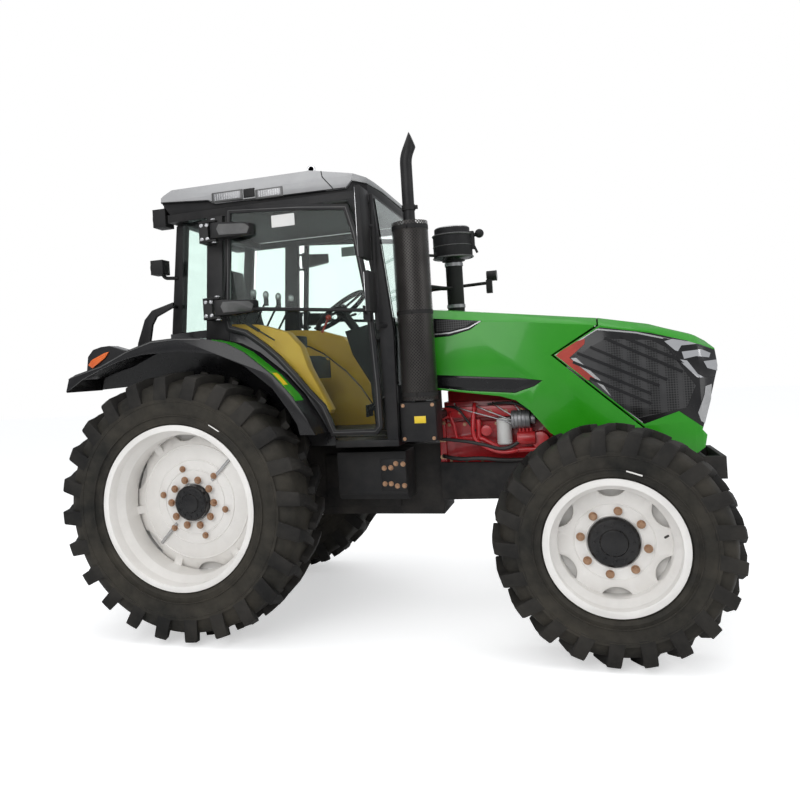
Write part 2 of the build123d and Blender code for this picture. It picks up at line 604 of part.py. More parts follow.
def steering():
    wheel = Pos(800, 0, 2030) * Rot(0, -35, 0) * (Torus(200, 16) + Cylinder(46, 40)
                                                    + [Rot(0, 0, 120 * i) * Pos(100, 0, 0) * Box(200, 26, 12)
                                                       for i in range(3)])
    column = rod((806, 0, 2022), (930, 0, 1845), 30)
    return wheel + column


def levers():
    """Hydraulic levers and the gear lever on the console."""
    sticks = Part()
    for index in range(4):
        x = 200 + 88 * index
        foot = (x, -430, 1912 - 14 * index)
        top = (x + 120, -430, 2125 - 20 * index)
        sticks += rod(foot, top, 7) + Pos(*top) * Cylinder(16, 70)
    return sticks


def mirrors():
    """Mirror posts on the front pillars, each with a long mirror head and a lower one."""
    post = rod((1256, -800, 2640), (1250, -800, 1840), 12)
    upper_arm = rod((1256, -800, 2600), (1225, -732, 2600), 12)
    lower_arm = rod((1250, -800, 1860), (1290, -732, 1860), 12)
    head = box(1215, 1245, -1010, -822, 2245, 2655)
    neck = rod((1238, -835, 2450), (1255, -800, 2450), 11)
    small = box(1236, 1262, -990, -822, 1935, 2170)
    low_neck = rod((1248, -835, 2050), (1252, -800, 2050), 11)
    return both(post + upper_arm + lower_arm + head + neck + small + low_neck)


def side_lamp():
    """Lamp on a forward arm from the left front pillar."""
    arm = tube([(1275, 712, 2150), (1330, 690, 2182), (1760, 640, 2194)], 12, 40)
    head = rod((1752, 640, 2244), (1820, 640, 2244), 38)
    foot = box(1746, 1788, 612, 668, 2118, 2215)
    return arm + head + foot


def work_lamps():
    """Rear work lamps: two under the roof's tail, two on curved arms, two in the roof's sides."""
    roof_lamp = box(-272, -178, -680, -560, 2632, 2752) + box(-206, -190, -640, -600, 2752, 2783)
    arm = tube([(-150, -595, 2292), (-225, -640, 2294), (-250, -640, 2335)], 12, 30)
    arm_lamp = box(-298, -208, -700, -600, 2316, 2412)
    return both(roof_lamp + arm + arm_lamp)


def wing_lamps():
    """Orange lenses on the lamp housings of the wings."""
    lens = plate_xz([(-622, 1738), (-590, 1771), (-494, 1809), (-465, 1814), (-496, 1777), (-592, 1716)],
                    -994, -985)
    return both(lens)


def handrails():
    """Flat upright handrails behind the cab, with a bar to the rear pillar."""
    post = plate_xz([(-400, 1792), (-388, 1866), (-328, 2017), (-271, 2074), (-113, 2116), (-115, 2083),
                     (-241, 2030), (-274, 1980), (-296, 1876), (-306, 1819.5)], -762, -738)
    return both(post + rod((-135, -750, 2100), (-178, -592, 2100), 12))


save("cab_base", cab_base())
frame_shape = cab_frame() + both(door_hinges())
save("cab_frame", frame_shape)
roof_shell, roof_liner, roof_eye = roof()
save("cab_roof", roof_shell + roof_eye)
save("roof_liner", roof_liner)
save("cab_glass", windscreen() + rear_window() + quarter_glass())
door_frame, door_glass, door_bar = door()
sided = dict(door_frame=door_frame + door_bar, door_glass=door_glass, wing=wing())
for piece, right in sided.items():
    save(f"{piece}_right", right)
    save(f"{piece}_left", left_of(right))
save("cab_trim", cab_trim())
save("seat", seat())
dash_shape, console_shape = dash()
save("dash", dash_shape)
save("steering_wheel", steering() - dash_shape)
save("console", console_shape + levers())
save("mirrors", mirrors() + side_lamp() - frame_shape)
save("work_lamps", work_lamps() - frame_shape - roof_liner)
save("wing_lamps", wing_lamps())
save("handrails", handrails() - frame_shape)


# ---- tanks and rear hitch -------------------------------------------------------------------------------
def tank():
    """Moulded tank between the wheels, with bevelled lower edges."""
    section = [(-560, 830), (-560, 1090), (-300, 1090), (-300, 790), (-520, 790)]
    return plate_yz(section, 880, 1320)


def step():
    """Two step treads hung under the left sill."""
    hangers = [box(x, x + 12, 566, 700, 640, 1120) for x in (930, 1200)]
    treads = [box(942, 1200, 566, 700, z, z + 14) for z in (640, 880)]
    return Part() + hangers + treads


LIFT_AXIS = (-180, 1150)
LINK_AXIS = (-110, 490)
LINK_EYE = (REAR_END + 42, 412)


def lift_arms():
    """Cross shaft through the lift cover with an arm at each end."""
    x, z = LIFT_AXIS
    shaft = rod((x, -285, z), (x, 285, z), 31)
    arm = plate_xz([(x + 44, z - 44), (x + 44, z + 44), (x - 330, z + 26), (x - 345, z), (x - 330, z - 26)],
                   -285, -257)
    return shaft + both(arm)


def lower_links():
    """Two lifting links, each with a ball eye for an implement's pin."""
    x, z = LINK_AXIS
    end, spread = LINK_EYE
    bar = plate_xy([(x + 40, -302), (x + 40, -276), (end + 30, -spread + 13), (end + 30, -spread - 13)],
                   z - 38, z + 38)
    eye = Pos(end, -spread, z) * Rot(90, 0, 0) * (Cylinder(42, 45) - Cylinder(14.35, 46))
    bar -= Pos(end, -spread, z) * Rot(90, 0, 0) * Cylinder(41, 60)
    pin = rod((x, -302, z), (x, -228, z), 15)
    return both(bar + eye + pin)


def lift_rods():
    """Screw-adjusted rods between the arms and the links."""
    body = rod((-520, -328, 560), (-500, -312, 1090), 18)
    low = rod((-520, -332, 545), (-520, -310, 545), 28)
    high = rod((-500, -318, 1150), (-500, -293, 1150), 34)
    neck = rod((-500, -312, 1080), (-500, -312, 1130), 15)
    return both(body + low + high + neck)


def drawbar():
    bar = box(-760, 160, -38, 38, 419, 455)
    return bar - Pos(-720, 0, 437) * Cylinder(16.5, 60)


def power_shaft():
    """Stub shaft for driven implements under its guard."""
    stub = rod((-345, 0, 700), (-260, 0, 700), 17.5)
    guard = box(-350, -260, -75, 75, 760, 768) + both(box(-350, -260, -75, -67, 690, 760))
    return stub + guard


rear_case_cut = rod((LIFT_AXIS[0], -300, LIFT_AXIS[1]), (LIFT_AXIS[0], 300, LIFT_AXIS[1]), 31.4)
save("rear_axle", rear_axle() - rear_case_cut)
save("side_tanks", both(tank()) + step())
save("lift_arms", lift_arms())
save("lower_links", lower_links())
save("lift_rods", lift_rods())
save("drawbar", drawbar())
save("power_shaft", power_shaft())
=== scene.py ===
# %% [markdown]
# # A farm tractor, dressed for a studio picture
# The construction is already there: every casting, panel, wheel and hinge has its real size
# and place. This notebook gives each of them its finish, rebuilds the pieces whose looks
# need a finer mesh, such as tyres and lamps, and adds bolts, hoses and trim. Lengths are in
# metres, +X is forward, +Y the tractor's left and +Z up.

# %% Load the frame
import json
import math
import bpy
import bmesh
from mathutils import Matrix, Vector

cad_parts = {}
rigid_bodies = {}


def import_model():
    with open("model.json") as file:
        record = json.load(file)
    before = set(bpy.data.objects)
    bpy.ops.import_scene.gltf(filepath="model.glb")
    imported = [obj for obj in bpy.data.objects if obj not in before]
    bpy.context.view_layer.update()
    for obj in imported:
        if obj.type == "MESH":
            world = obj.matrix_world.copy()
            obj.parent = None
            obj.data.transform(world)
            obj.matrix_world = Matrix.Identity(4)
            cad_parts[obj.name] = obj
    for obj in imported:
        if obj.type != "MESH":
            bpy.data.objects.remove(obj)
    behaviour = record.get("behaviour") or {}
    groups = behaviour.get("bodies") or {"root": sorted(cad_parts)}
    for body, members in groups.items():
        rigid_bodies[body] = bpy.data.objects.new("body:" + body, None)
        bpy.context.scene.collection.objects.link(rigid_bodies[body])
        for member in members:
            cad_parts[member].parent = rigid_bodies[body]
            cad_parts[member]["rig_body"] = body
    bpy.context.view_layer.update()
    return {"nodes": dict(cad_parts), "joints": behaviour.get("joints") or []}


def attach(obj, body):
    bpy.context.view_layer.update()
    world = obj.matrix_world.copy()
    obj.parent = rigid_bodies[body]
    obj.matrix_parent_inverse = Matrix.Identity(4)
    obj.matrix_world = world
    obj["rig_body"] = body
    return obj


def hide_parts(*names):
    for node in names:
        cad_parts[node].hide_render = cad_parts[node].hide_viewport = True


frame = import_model()
cad_nodes = frame["nodes"]
print("pieces in the frame:", len(cad_nodes))

# %% [markdown]
# ## Reference points
# The wheel centres are read from the frame's joints, and every other place is given in millimetres.
# Distances along the tractor are then counted from the rear axle, which is how a tractor is drawn.

# %% Wheel centres
joint_at = {joint["name"]: Vector(joint["pos_m"]) for joint in frame["joints"]}
REAR_HUB = joint_at["rear_wheel_right_spin"]
FRONT_HUB = joint_at["front_wheel_right_spin"]
AXLE_X = REAR_HUB.x
SIDES = {"right": 1, "left": -1}
print("rear hub", tuple(REAR_HUB), "front hub", tuple(FRONT_HUB))


def at(x, y, z):
    """A point given in millimetres from the rear axle, the middle plane and the ground."""
    return Vector((AXLE_X + x / 1000, y / 1000, z / 1000))


# %% [markdown]
# ## Hand tools
# Modelling by hand comes down to a few moves, so each gets a short helper: select one object,
# select faces by a rule, and put an object's place into its mesh. Every operator acts on the
# selection, so each helper starts by clearing it.

# %% Selection helpers
def only(*objects):
    """Select these objects and nothing else; the first is active."""
    bpy.ops.object.select_all(action="DESELECT")
    for item in objects:
        item.select_set(True)
    bpy.context.view_layer.objects.active = objects[0]


def settle(item):
    """Put an object's place, turn and size into its mesh."""
    only(item)
    bpy.ops.object.transform_apply(location=True, rotation=True, scale=True)
    return item


def pick_faces(item, rule):
    """In edit mode, select the faces whose centre and normal pass the rule."""
    bpy.ops.mesh.select_mode(type="FACE")
    bpy.ops.mesh.select_all(action="DESELECT")
    mesh = bmesh.from_edit_mesh(item.data)
    for face in mesh.faces:
        if rule(face.calc_center_median(), face.normal):
            face.select_set(True)
    bmesh.update_edit_mesh(item.data)


def modify(item, kind, **settings):
    """Add one modifier and apply it."""
    only(item)
    modifier = item.modifiers.new(kind.title(), kind)
    for key, value in settings.items():
        setattr(modifier, key, value)
    bpy.ops.object.modifier_apply(modifier=modifier.name)
    return item


def soften(item, width=0.002, segments=2, angle=32):
    """Round the sharp edges and shade the rest smooth."""
    if width:
        modify(item, "BEVEL", width=width, segments=segments, limit_method="ANGLE",
               angle_limit=math.radians(angle), use_clamp_overlap=False, harden_normals=False)
    only(item)
    bpy.ops.object.shade_smooth_by_angle(angle=math.radians(angle))
    return item


# %% Primitive helpers
def block(low, high):
    """A box between two corners."""
    low, high = Vector(low), Vector(high)
    bpy.ops.object.select_all(action="DESELECT")
    bpy.ops.mesh.primitive_cube_add(size=1, location=(low + high) / 2)
    item = bpy.context.object
    item.scale = [abs(size) for size in high - low]
    return settle(item)


def bar(start, end, radius, sides=16, end_radius=None):
    """A round bar, or a cone, between two points."""
    start, end = Vector(start), Vector(end)
    run = end - start
    bpy.ops.object.select_all(action="DESELECT")
    bpy.ops.mesh.primitive_cone_add(vertices=sides, radius1=radius,
                                    radius2=radius if end_radius is None else end_radius,
                                    depth=run.length, location=(start + end) / 2,
                                    rotation=run.to_track_quat("Z", "Y").to_euler())
    return settle(bpy.context.object)


def ball(centre, radius, squash=(1, 1, 1)):
    bpy.ops.object.select_all(action="DESELECT")
    bpy.ops.mesh.primitive_uv_sphere_add(segments=24, ring_count=12, radius=radius, location=centre)
    bpy.context.object.scale = squash
    return settle(bpy.context.object)


def ring(centre, radius, thickness, axis=(0, 0, 1), sides=48):
    turn = Vector(axis).to_track_quat("Z", "Y").to_euler()
    bpy.ops.object.select_all(action="DESELECT")
    bpy.ops.mesh.primitive_torus_add(major_radius=radius, minor_radius=thickness, major_segments=sides,
                                     minor_segments=12, location=centre, rotation=turn)
    return settle(bpy.context.object)


def line_of(points):
    """A chain of edges through the points, started from one merged vertex."""
    points = [Vector(point) for point in points]
    bpy.ops.object.select_all(action="DESELECT")
    bpy.ops.mesh.primitive_plane_add(size=0.01, location=points[0])
    item = settle(bpy.context.object)
    bpy.ops.object.mode_set(mode="EDIT")
    bpy.ops.mesh.select_mode(type="VERT")
    bpy.ops.mesh.select_all(action="SELECT")
    bpy.ops.mesh.merge(type="CENTER")
    for before, after in zip(points, points[1:]):
        bpy.ops.mesh.extrude_vertices_move(TRANSFORM_OT_translate={"value": after - before})
    bpy.ops.object.mode_set(mode="OBJECT")
    return item


def plate(points, push):
    """A flat plate: the outline is filled and pushed out by a vector."""
    item = line_of(points)
    bpy.ops.object.mode_set(mode="EDIT")
    bpy.ops.mesh.select_all(action="SELECT")
    bpy.ops.mesh.edge_face_add()
    bpy.ops.mesh.extrude_region_move(TRANSFORM_OT_translate={"value": Vector(push)})
    bpy.ops.mesh.select_all(action="SELECT")
    bpy.ops.mesh.normals_make_consistent(inside=False)
    bpy.ops.object.mode_set(mode="OBJECT")
    return item


def turned(profile, centre, steps=96):
    """A body of revolution about Y from (radius, y) points round a closed section."""
    centre = Vector(centre)
    item = line_of([centre + Vector((0, y, radius)) for radius, y in profile])
    bpy.ops.object.mode_set(mode="EDIT")
    bpy.ops.mesh.select_all(action="SELECT")
    bpy.ops.mesh.edge_face_add()
    bpy.ops.mesh.delete(type="ONLY_FACE")
    bpy.ops.mesh.select_all(action="SELECT")
    bpy.ops.mesh.spin(steps=steps, angle=2 * math.pi, center=centre, axis=(0, 1, 0))
    bpy.ops.mesh.select_all(action="SELECT")
    bpy.ops.mesh.remove_doubles(threshold=0.00005)
    bpy.ops.mesh.normals_make_consistent(inside=False)
    bpy.ops.object.mode_set(mode="OBJECT")
    return item


def hose(points, radius, sides=10):
    """A round hose or rod along a smooth line through a few points."""
    bpy.ops.object.select_all(action="DESELECT")
    bpy.ops.curve.primitive_nurbs_path_add(location=(0, 0, 0))
    item = bpy.context.object
    spline = item.data.splines[0]
    spline.points.add(max(0, len(points) - len(spline.points)))
    for index, point in enumerate(spline.points):
        place = points[min(index, len(points) - 1)]
        point.co = (*place, 1)
    spline.order_u = 3
    spline.use_endpoint_u = True
    spline.resolution_u = 6
    item.data.bevel_depth = radius
    item.data.bevel_resolution = max(1, sides // 4)
    item.data.use_fill_caps = True
    only(item)
    bpy.ops.object.convert(target="MESH")
    item = bpy.context.object
    bpy.ops.object.mode_set(mode="EDIT")
    bpy.ops.mesh.select_all(action="SELECT")
    bpy.ops.mesh.remove_doubles(threshold=0.00005)
    bpy.ops.object.mode_set(mode="OBJECT")
    bpy.ops.object.shade_smooth()
    return item


# %% Copy helpers
def copy_of(item):
    twin = item.copy()
    twin.data = item.data.copy()
    bpy.context.scene.collection.objects.link(twin)
    return twin


def moved(item, offset):
    item.location = Vector(offset)
    return settle(item)


def spun(item, centre, angle, axis="Y"):
    """Turn an object's mesh about a line through a point."""
    centre = Vector(centre)
    item.data.transform(Matrix.Translation(centre) @ Matrix.Rotation(angle, 4, axis)
                        @ Matrix.Translation(-centre))
    return item


def across(item):
    """The mirror image on the tractor's other side."""
    twin = copy_of(item)
    twin.scale = (1, -1, 1)
    settle(twin)
    bpy.ops.object.mode_set(mode="EDIT")
    bpy.ops.mesh.select_all(action="SELECT")
    bpy.ops.mesh.normals_make_consistent(inside=False)
    bpy.ops.object.mode_set(mode="OBJECT")
    return twin


def joined(items):
    items = list(items)
    only(*items)
    if len(items) > 1:
        bpy.ops.object.join()
    return bpy.context.view_layer.objects.active


def finish(item, name, paint, body, stands_for=()):
    """Name a finished piece, paint it, and let it ride on its body."""
    item.name = name
    item.data.name = name
    if paint is not None:
        item.data.materials.clear()
        item.data.materials.append(paint)
    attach(item, body)
    if stands_for:
        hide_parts(*stands_for)
    return item


def assemble(items, name, paint, body="chassis"):
    """Join pieces into one, shade it and finish it; most small trim rides on the chassis."""
    return finish(soften(joined(items), 0), name, paint, body)


def welded(node):
    """A visible copy of a construction piece, its loose triangles merged into one surface."""
    twin = copy_of(cad_nodes[node])
    twin.hide_set(False)
    twin.hide_viewport = twin.hide_render = False
    twin.parent = None
    twin.matrix_world = Matrix.Identity(4)
    for key in list(twin.keys()):
        del twin[key]
    only(twin)
    bpy.ops.object.mode_set(mode="EDIT")
    bpy.ops.mesh.select_all(action="SELECT")
    bpy.ops.mesh.remove_doubles(threshold=0.00002)
    bpy.ops.object.mode_set(mode="OBJECT")
    return twin


def refined(node, paint, width=0.002, angle=32):
    """A welded copy of a construction piece with rounded edges, which stands for it."""
    twin = welded(node)
    bpy.ops.object.mode_set(mode="EDIT")
    bpy.ops.mesh.select_all(action="SELECT")
    bpy.ops.mesh.dissolve_limited(angle_limit=math.radians(0.6))
    bpy.ops.object.mode_set(mode="OBJECT")
    soften(twin, width, 2, angle)
    return finish(twin, node + "_finished", paint, cad_nodes[node]["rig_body"], [node])


# %% [markdown]
# ## Finishes
# A tractor is painted metal, moulded plastic and rubber under a thin film of dust. Three
# effects turn up in nearly every finish, so each is a shader node group: a dust film that
# settles low down and in patches, a fine surface grain, and blotches of wear.

# %% Node helpers
def put(tree, kind, inputs=None, **settings):
    """Add a node with its settings; an input is a value, or a (node, output) pair to link from."""
    node = tree.nodes.new(kind)
    for key, value in settings.items():
        setattr(node, key, value)
    for key, value in (inputs or {}).items():
        if isinstance(value, tuple) and hasattr(value[0], "outputs"):
            tree.links.new(value[0].outputs[value[1]], node.inputs[key])
        else:
            node.inputs[key].default_value = value
    return node


def link(tree, source, output, target, entry):
    tree.links.new(source.outputs[output], target.inputs[entry])


def new_group(name, inputs, outputs):
    """A node group with its sockets: inputs by their default, outputs by their kind."""
    group = bpy.data.node_groups.new(name, "ShaderNodeTree")
    for entry, value in inputs.items():
        kind = "NodeSocketColor" if isinstance(value, tuple) else "NodeSocketFloat"
        group.interface.new_socket(name=entry, in_out="INPUT", socket_type=kind).default_value = value
    for entry, kind in outputs.items():
        group.interface.new_socket(name=entry, in_out="OUTPUT", socket_type="NodeSocket" + kind)
    return group, group.nodes.new("NodeGroupInput"), group.nodes.new("NodeGroupOutput")


# %% Dust group
def build_dust():
    """Colour and roughness under a dust film: more near the ground and in cloudy patches."""
    group, enter, leave = new_group(
        "dust film", {"Color": (0.5, 0.5, 0.5, 1), "Dust Color": (0.32, 0.27, 0.21, 1), "Roughness": 0.4,
                      "Amount": 0.3, "Top": 1.2, "Scale": 3.0}, {"Color": "Color", "Roughness": "Float"})
    place = put(group, "ShaderNodeTexCoord")
    split = put(group, "ShaderNodeSeparateXYZ", {0: (place, "Object")})
    height = put(group, "ShaderNodeMapRange", {"Value": (split, "Z"), "From Min": 0.0, "From Max": (enter, "Top"),
                                               "To Min": 1.0, "To Max": 0.25})
    cloud = put(group, "ShaderNodeTexNoise", {"Vector": (place, "Object"), "Scale": (enter, "Scale"),
                                              "Detail": 7, "Roughness": 0.62})
    patch = put(group, "ShaderNodeMapRange", {"Value": (cloud, "Fac"), "From Min": 0.35, "From Max": 0.72})
    both = put(group, "ShaderNodeMath", {0: (height, "Result"), 1: (patch, "Result")}, operation="MULTIPLY")
    mask = put(group, "ShaderNodeMath", {0: (both, 0), 1: (enter, "Amount")}, operation="MULTIPLY",
               use_clamp=True)
    tint = put(group, "ShaderNodeMix", {0: (mask, 0), 6: (enter, "Color"), 7: (enter, "Dust Color")},
               data_type="RGBA")
    link(group, tint, 2, leave, "Color")
    rough = put(group, "ShaderNodeMapRange",
                {"Value": (mask, 0), "To Min": (enter, "Roughness"), "To Max": 0.85})
    link(group, rough, "Result", leave, "Roughness")
    return group


def build_grain():
    """A normal for fine moulding grain or paint texture."""
    group, enter, leave = new_group("surface grain", {"Scale": 300.0, "Strength": 0.2, "Distance": 0.001},
                                    {"Normal": "Vector"})
    place = put(group, "ShaderNodeTexCoord")
    noise = put(group, "ShaderNodeTexNoise",
                {"Vector": (place, "Object"), "Scale": (enter, "Scale"), "Detail": 3})
    bump = put(group, "ShaderNodeBump", {"Strength": (enter, "Strength"), "Distance": (enter, "Distance"),
                                         "Height": (noise, "Fac")})
    link(group, bump, "Normal", leave, "Normal")
    return group


def build_mottle():
    """A colour that drifts between two tones in soft blotches."""
    group, enter, leave = new_group(
        "mottle", {"Dark": (0.02, 0.02, 0.02, 1), "Light": (0.08, 0.08, 0.08, 1), "Scale": 8.0},
        {"Color": "Color", "Mask": "Float"})
    place = put(group, "ShaderNodeTexCoord")
    noise = put(group, "ShaderNodeTexNoise", {"Vector": (place, "Object"), "Scale": (enter, "Scale"),
                                              "Detail": 6, "Roughness": 0.6})
    spread = put(group, "ShaderNodeMapRange", {"Value": (noise, "Fac"), "From Min": 0.3, "From Max": 0.7})
    tint = put(group, "ShaderNodeMix", {0: (spread, "Result"), 6: (enter, "Dark"), 7: (enter, "Light")},
               data_type="RGBA")
    link(group, tint, 2, leave, "Color")
    link(group, spread, "Result", leave, "Mask")
    return group


DUST = build_dust()
GRAIN = build_grain()
MOTTLE = build_mottle()
print("groups:", [group.name for group in (DUST, GRAIN, MOTTLE)])


# %% A painted or moulded surface
def new_paint(name):
    """A material with its node tree and its shader."""
    paint = bpy.data.materials.new(name)
    paint.use_nodes = True
    return paint, paint.node_tree, paint.node_tree.nodes["Principled BSDF"]


def surface(name, dark, light, roughness, metallic=0.0, dust=0.25, dust_top=1.4, mottle=6.0,
            grain=300.0, grain_strength=0.1, coat=0.0, specular=0.5, dust_color=(0.32, 0.27, 0.21)):
    """Principled finish with colour drift, a dust film and a fine grain."""
    paint, tree, shader = new_paint(name)
    drift = put(tree, "ShaderNodeGroup", {"Dark": (*dark, 1), "Light": (*light, 1), "Scale": mottle},
                node_tree=MOTTLE)
    film = put(tree, "ShaderNodeGroup", {"Color": (drift, "Color"), "Dust Color": (*dust_color, 1),
                                         "Roughness": roughness, "Amount": dust, "Top": dust_top}, node_tree=DUST)
    fine = put(tree, "ShaderNodeGroup", {"Scale": grain, "Strength": grain_strength}, node_tree=GRAIN)
    for entry, value in (("Metallic", metallic), ("Coat Weight", coat), ("Coat Roughness", 0.06),
                         ("Specular IOR Level", specular)):
        shader.inputs[entry].default_value = value
    link(tree, film, "Color", shader, "Base Color")
    link(tree, film, "Roughness", shader, "Roughness")
    link(tree, fine, "Normal", shader, "Normal")
    return paint


GREEN = surface("leaf green enamel", (0.014, 0.245, 0.004), (0.022, 0.300, 0.006), 0.30, dust=0.06,
                coat=0.25, grain=90, grain_strength=0.02, mottle=1.5, specular=0.3)
WHITE = surface("white wheel enamel", (0.78, 0.76, 0.73), (0.88, 0.86, 0.83), 0.38, dust=0.16, dust_top=1.8,
                grain=120, grain_strength=0.04, mottle=4.0, coat=0.15)
BLACK = surface("black chassis paint", (0.006, 0.006, 0.007), (0.013, 0.013, 0.014), 0.45, dust=0.10,
                specular=0.25)
GLOSS_BLACK = surface("black gloss plastic", (0.006, 0.006, 0.007), (0.012, 0.012, 0.013), 0.22, dust=0.05,
                      coat=0.1, grain_strength=0.03, specular=0.3)
MOULDED = surface("black moulded plastic", (0.012, 0.012, 0.013), (0.016, 0.016, 0.017), 0.55, dust=0.10,
                  grain=220, grain_strength=0.05, specular=0.2)
GREY = surface("grey hinge casting", (0.055, 0.055, 0.055), (0.10, 0.10, 0.10), 0.38, metallic=0.2, dust=0.15)
SILVER = surface("pearl grey roof moulding", (0.30, 0.30, 0.305), (0.36, 0.36, 0.365), 0.35, dust=0.20,
                 dust_top=4.0, coat=0.2, grain_strength=0.04, dust_color=(0.30, 0.28, 0.25))
RED = surface("red engine enamel", (0.36, 0.006, 0.010), (0.55, 0.012, 0.020), 0.35, dust=0.12, coat=0.3,
              grain=60, grain_strength=0.12, mottle=9.0)
CAST = surface("painted cast iron", (0.006, 0.006, 0.007), (0.014, 0.014, 0.015), 0.6, dust=0.18, grain=90,
               grain_strength=0.4, specular=0.25)
YELLOW = surface("amber cab lining", (0.70, 0.36, 0.02), (0.86, 0.48, 0.03), 0.5, dust=0.05, grain=500,
                 grain_strength=0.2)
STEEL = surface("bare steel", (0.30, 0.30, 0.31), (0.42, 0.42, 0.43), 0.32, metallic=1.0, dust=0.15,
                grain_strength=0.1)
COPPER = surface("yellow-plated bolts", (0.30, 0.17, 0.10), (0.48, 0.30, 0.19), 0.35, metallic=0.9, dust=0.2,
                 mottle=60)
ALLOY = surface("radiator alloy", (0.20, 0.20, 0.21), (0.34, 0.34, 0.35), 0.45, metallic=0.8, dust=0.25)
PALE = surface("filter enamel", (0.60, 0.60, 0.58), (0.72, 0.72, 0.70), 0.35, dust=0.15)
HOSE = surface("hose rubber", (0.008, 0.008, 0.008), (0.018, 0.018, 0.018), 0.5, dust=0.15, grain=400)
CHROME = surface("bright chrome", (0.60, 0.60, 0.61), (0.72, 0.72, 0.73), 0.10, metallic=1.0, dust=0.03,
                 grain_strength=0.01)
TAG = surface("plain yellow plate", (0.72, 0.50, 0.01), (0.80, 0.58, 0.02), 0.4, dust=0.1, dust_top=3.0)
AMBER = surface("orange lamp lens", (0.62, 0.09, 0.01), (0.80, 0.16, 0.015), 0.18, dust=0.12, dust_top=3.0,
                coat=0.4)
REFLECTOR = surface("red reflector", (0.30, 0.018, 0.008), (0.46, 0.035, 0.015), 0.22, dust=0.06, coat=0.5,
                    grain=120, grain_strength=0.3)
TRIM = surface("satin silver trim", (0.42, 0.42, 0.42), (0.52, 0.52, 0.52), 0.25, metallic=0.6, dust=0.05)
print("finishes made:", len(bpy.data.materials))


# %% [markdown]
# Rubber is matt and nearly black on the tread bars, and grey-brown where field dust has
# settled on the sidewall. A tyre is dusty all over, so the film's top is set far above it.

# %% Tyre rubber
RUBBER = surface("tyre rubber", (0.004, 0.004, 0.004), (0.012, 0.011, 0.010), 0.66, dust=0.42, dust_top=4.5,
                 mottle=7.0, grain=260, grain_strength=0.35, specular=0.25, dust_color=(0.085, 0.076, 0.064))
SIDEWALL = surface("dusty sidewall rubber", (0.008, 0.008, 0.007), (0.026, 0.024, 0.020), 0.60, dust=0.45,
                   dust_top=4.5, mottle=14.0, grain=200, grain_strength=0.3, specular=0.2,
                   dust_color=(0.105, 0.090, 0.068))

# %% [markdown]
# ## Tyres
# A tractor tyre is a round carcass with two rows of chunky bars that meet near the middle in a
# chevron. One bar is drawn as a flat outline, pushed out into a block and cut to the tread's
# curve with a Boolean against a turned envelope. That bar is then copied round the wheel.

# %% Tyre sizes
TYRES = {
    "rear": dict(hub=REAR_HUB, crown=0.830, shoulder=0.806, width=0.466, lug=0.046, lugs=24, flange=0.508,
                 rim=0.430),
    "front": dict(hub=FRONT_HUB, crown=0.625, shoulder=0.603, width=0.372, lug=0.040, lugs=21, flange=0.356,
                  rim=0.330),
}


def carcass(hub, crown, shoulder, width, lug, flange, rim, **_):
    """The round body: the bead over the rim, the sidewall with two raised beads, the shoulder."""
    half, bead = width / 2, flange - 0.0255
    one_side = [
        (bead, rim / 2 - 0.012), (flange + 0.004, rim / 2 - 0.010), (flange + 0.010, rim / 2 + 0.002),
        (flange + 0.022, half - 0.016), (flange + 0.030, half - 0.012), (flange + 0.036, half - 0.014),
        (flange * 0.62 + shoulder * 0.38, half - 0.003), (flange * 0.45 + shoulder * 0.55, half),
        (shoulder - lug - 0.105, half - 0.010), (shoulder - lug - 0.050, half - 0.024),
        (shoulder - lug - 0.010, half - 0.044), (shoulder - lug + 0.004, half - 0.068),
        (crown - lug - 0.002, half * 0.35), (crown - lug, 0.0)]
    other = [(radius, -y) for radius, y in reversed(one_side[:-1])]
    ring_shape = turned(one_side + other, hub, 120)
    only(ring_shape)
    bpy.ops.object.shade_smooth_by_angle(angle=math.radians(40))
    beads = [ring(hub + Vector((0, way * (half - 0.0015), 0)), flange * part + shoulder * (1 - part), 0.0035,
                  (0, 1, 0), 120) for part in (0.80, 0.52) for way in (-1, 1)]
    return joined([ring_shape] + [soften(bead, 0) for bead in beads])


def tread_bar(hub, crown, shoulder, width, lug, lugs, **_):
    """One bar on the tractor's right; its nose leads at the top of the wheel."""
    half = width / 2
    pitch = 2 * math.pi * crown / lugs
    outline = [(0.31, 0.016), (0.23, -0.012), (-0.05, -half * 0.60), (-0.08, -half - 0.004),
               (-0.50, -half - 0.004), (-0.38, -half * 0.62), (-0.02, -0.020), (0.08, 0.016)]
    base = shoulder - lug - 0.098
    flat = [hub + Vector((x * pitch, y, base)) for x, y in outline]
    bar_shape = plate(flat, (0, 0, crown - base + 0.006))
    bpy.ops.object.mode_set(mode="EDIT")
    pick_faces(bar_shape, lambda centre, normal: normal.z > 0.9 and centre.z > hub.z + crown)
    middle = hub + Vector((-0.06 * pitch, -half / 2, crown))
    bpy.ops.transform.resize(value=(0.86, 0.96, 1), center_override=middle)
    bpy.ops.object.mode_set(mode="OBJECT")
    envelope = turned([(base - 0.02, -half), (base + 0.035, -half - 0.001), (shoulder - 0.012, -half + 0.003),
                       (shoulder, -half + 0.010), (crown - 0.004, -half * 0.45), (crown, 0),
                       (crown, half * 0.5), (base - 0.02, half * 0.5)], hub, 96)
    modify(bar_shape, "BOOLEAN", operation="INTERSECT", object=envelope, solver="EXACT")
    bpy.data.objects.remove(envelope)
    return soften(bar_shape, 0.0035, 2, 30)


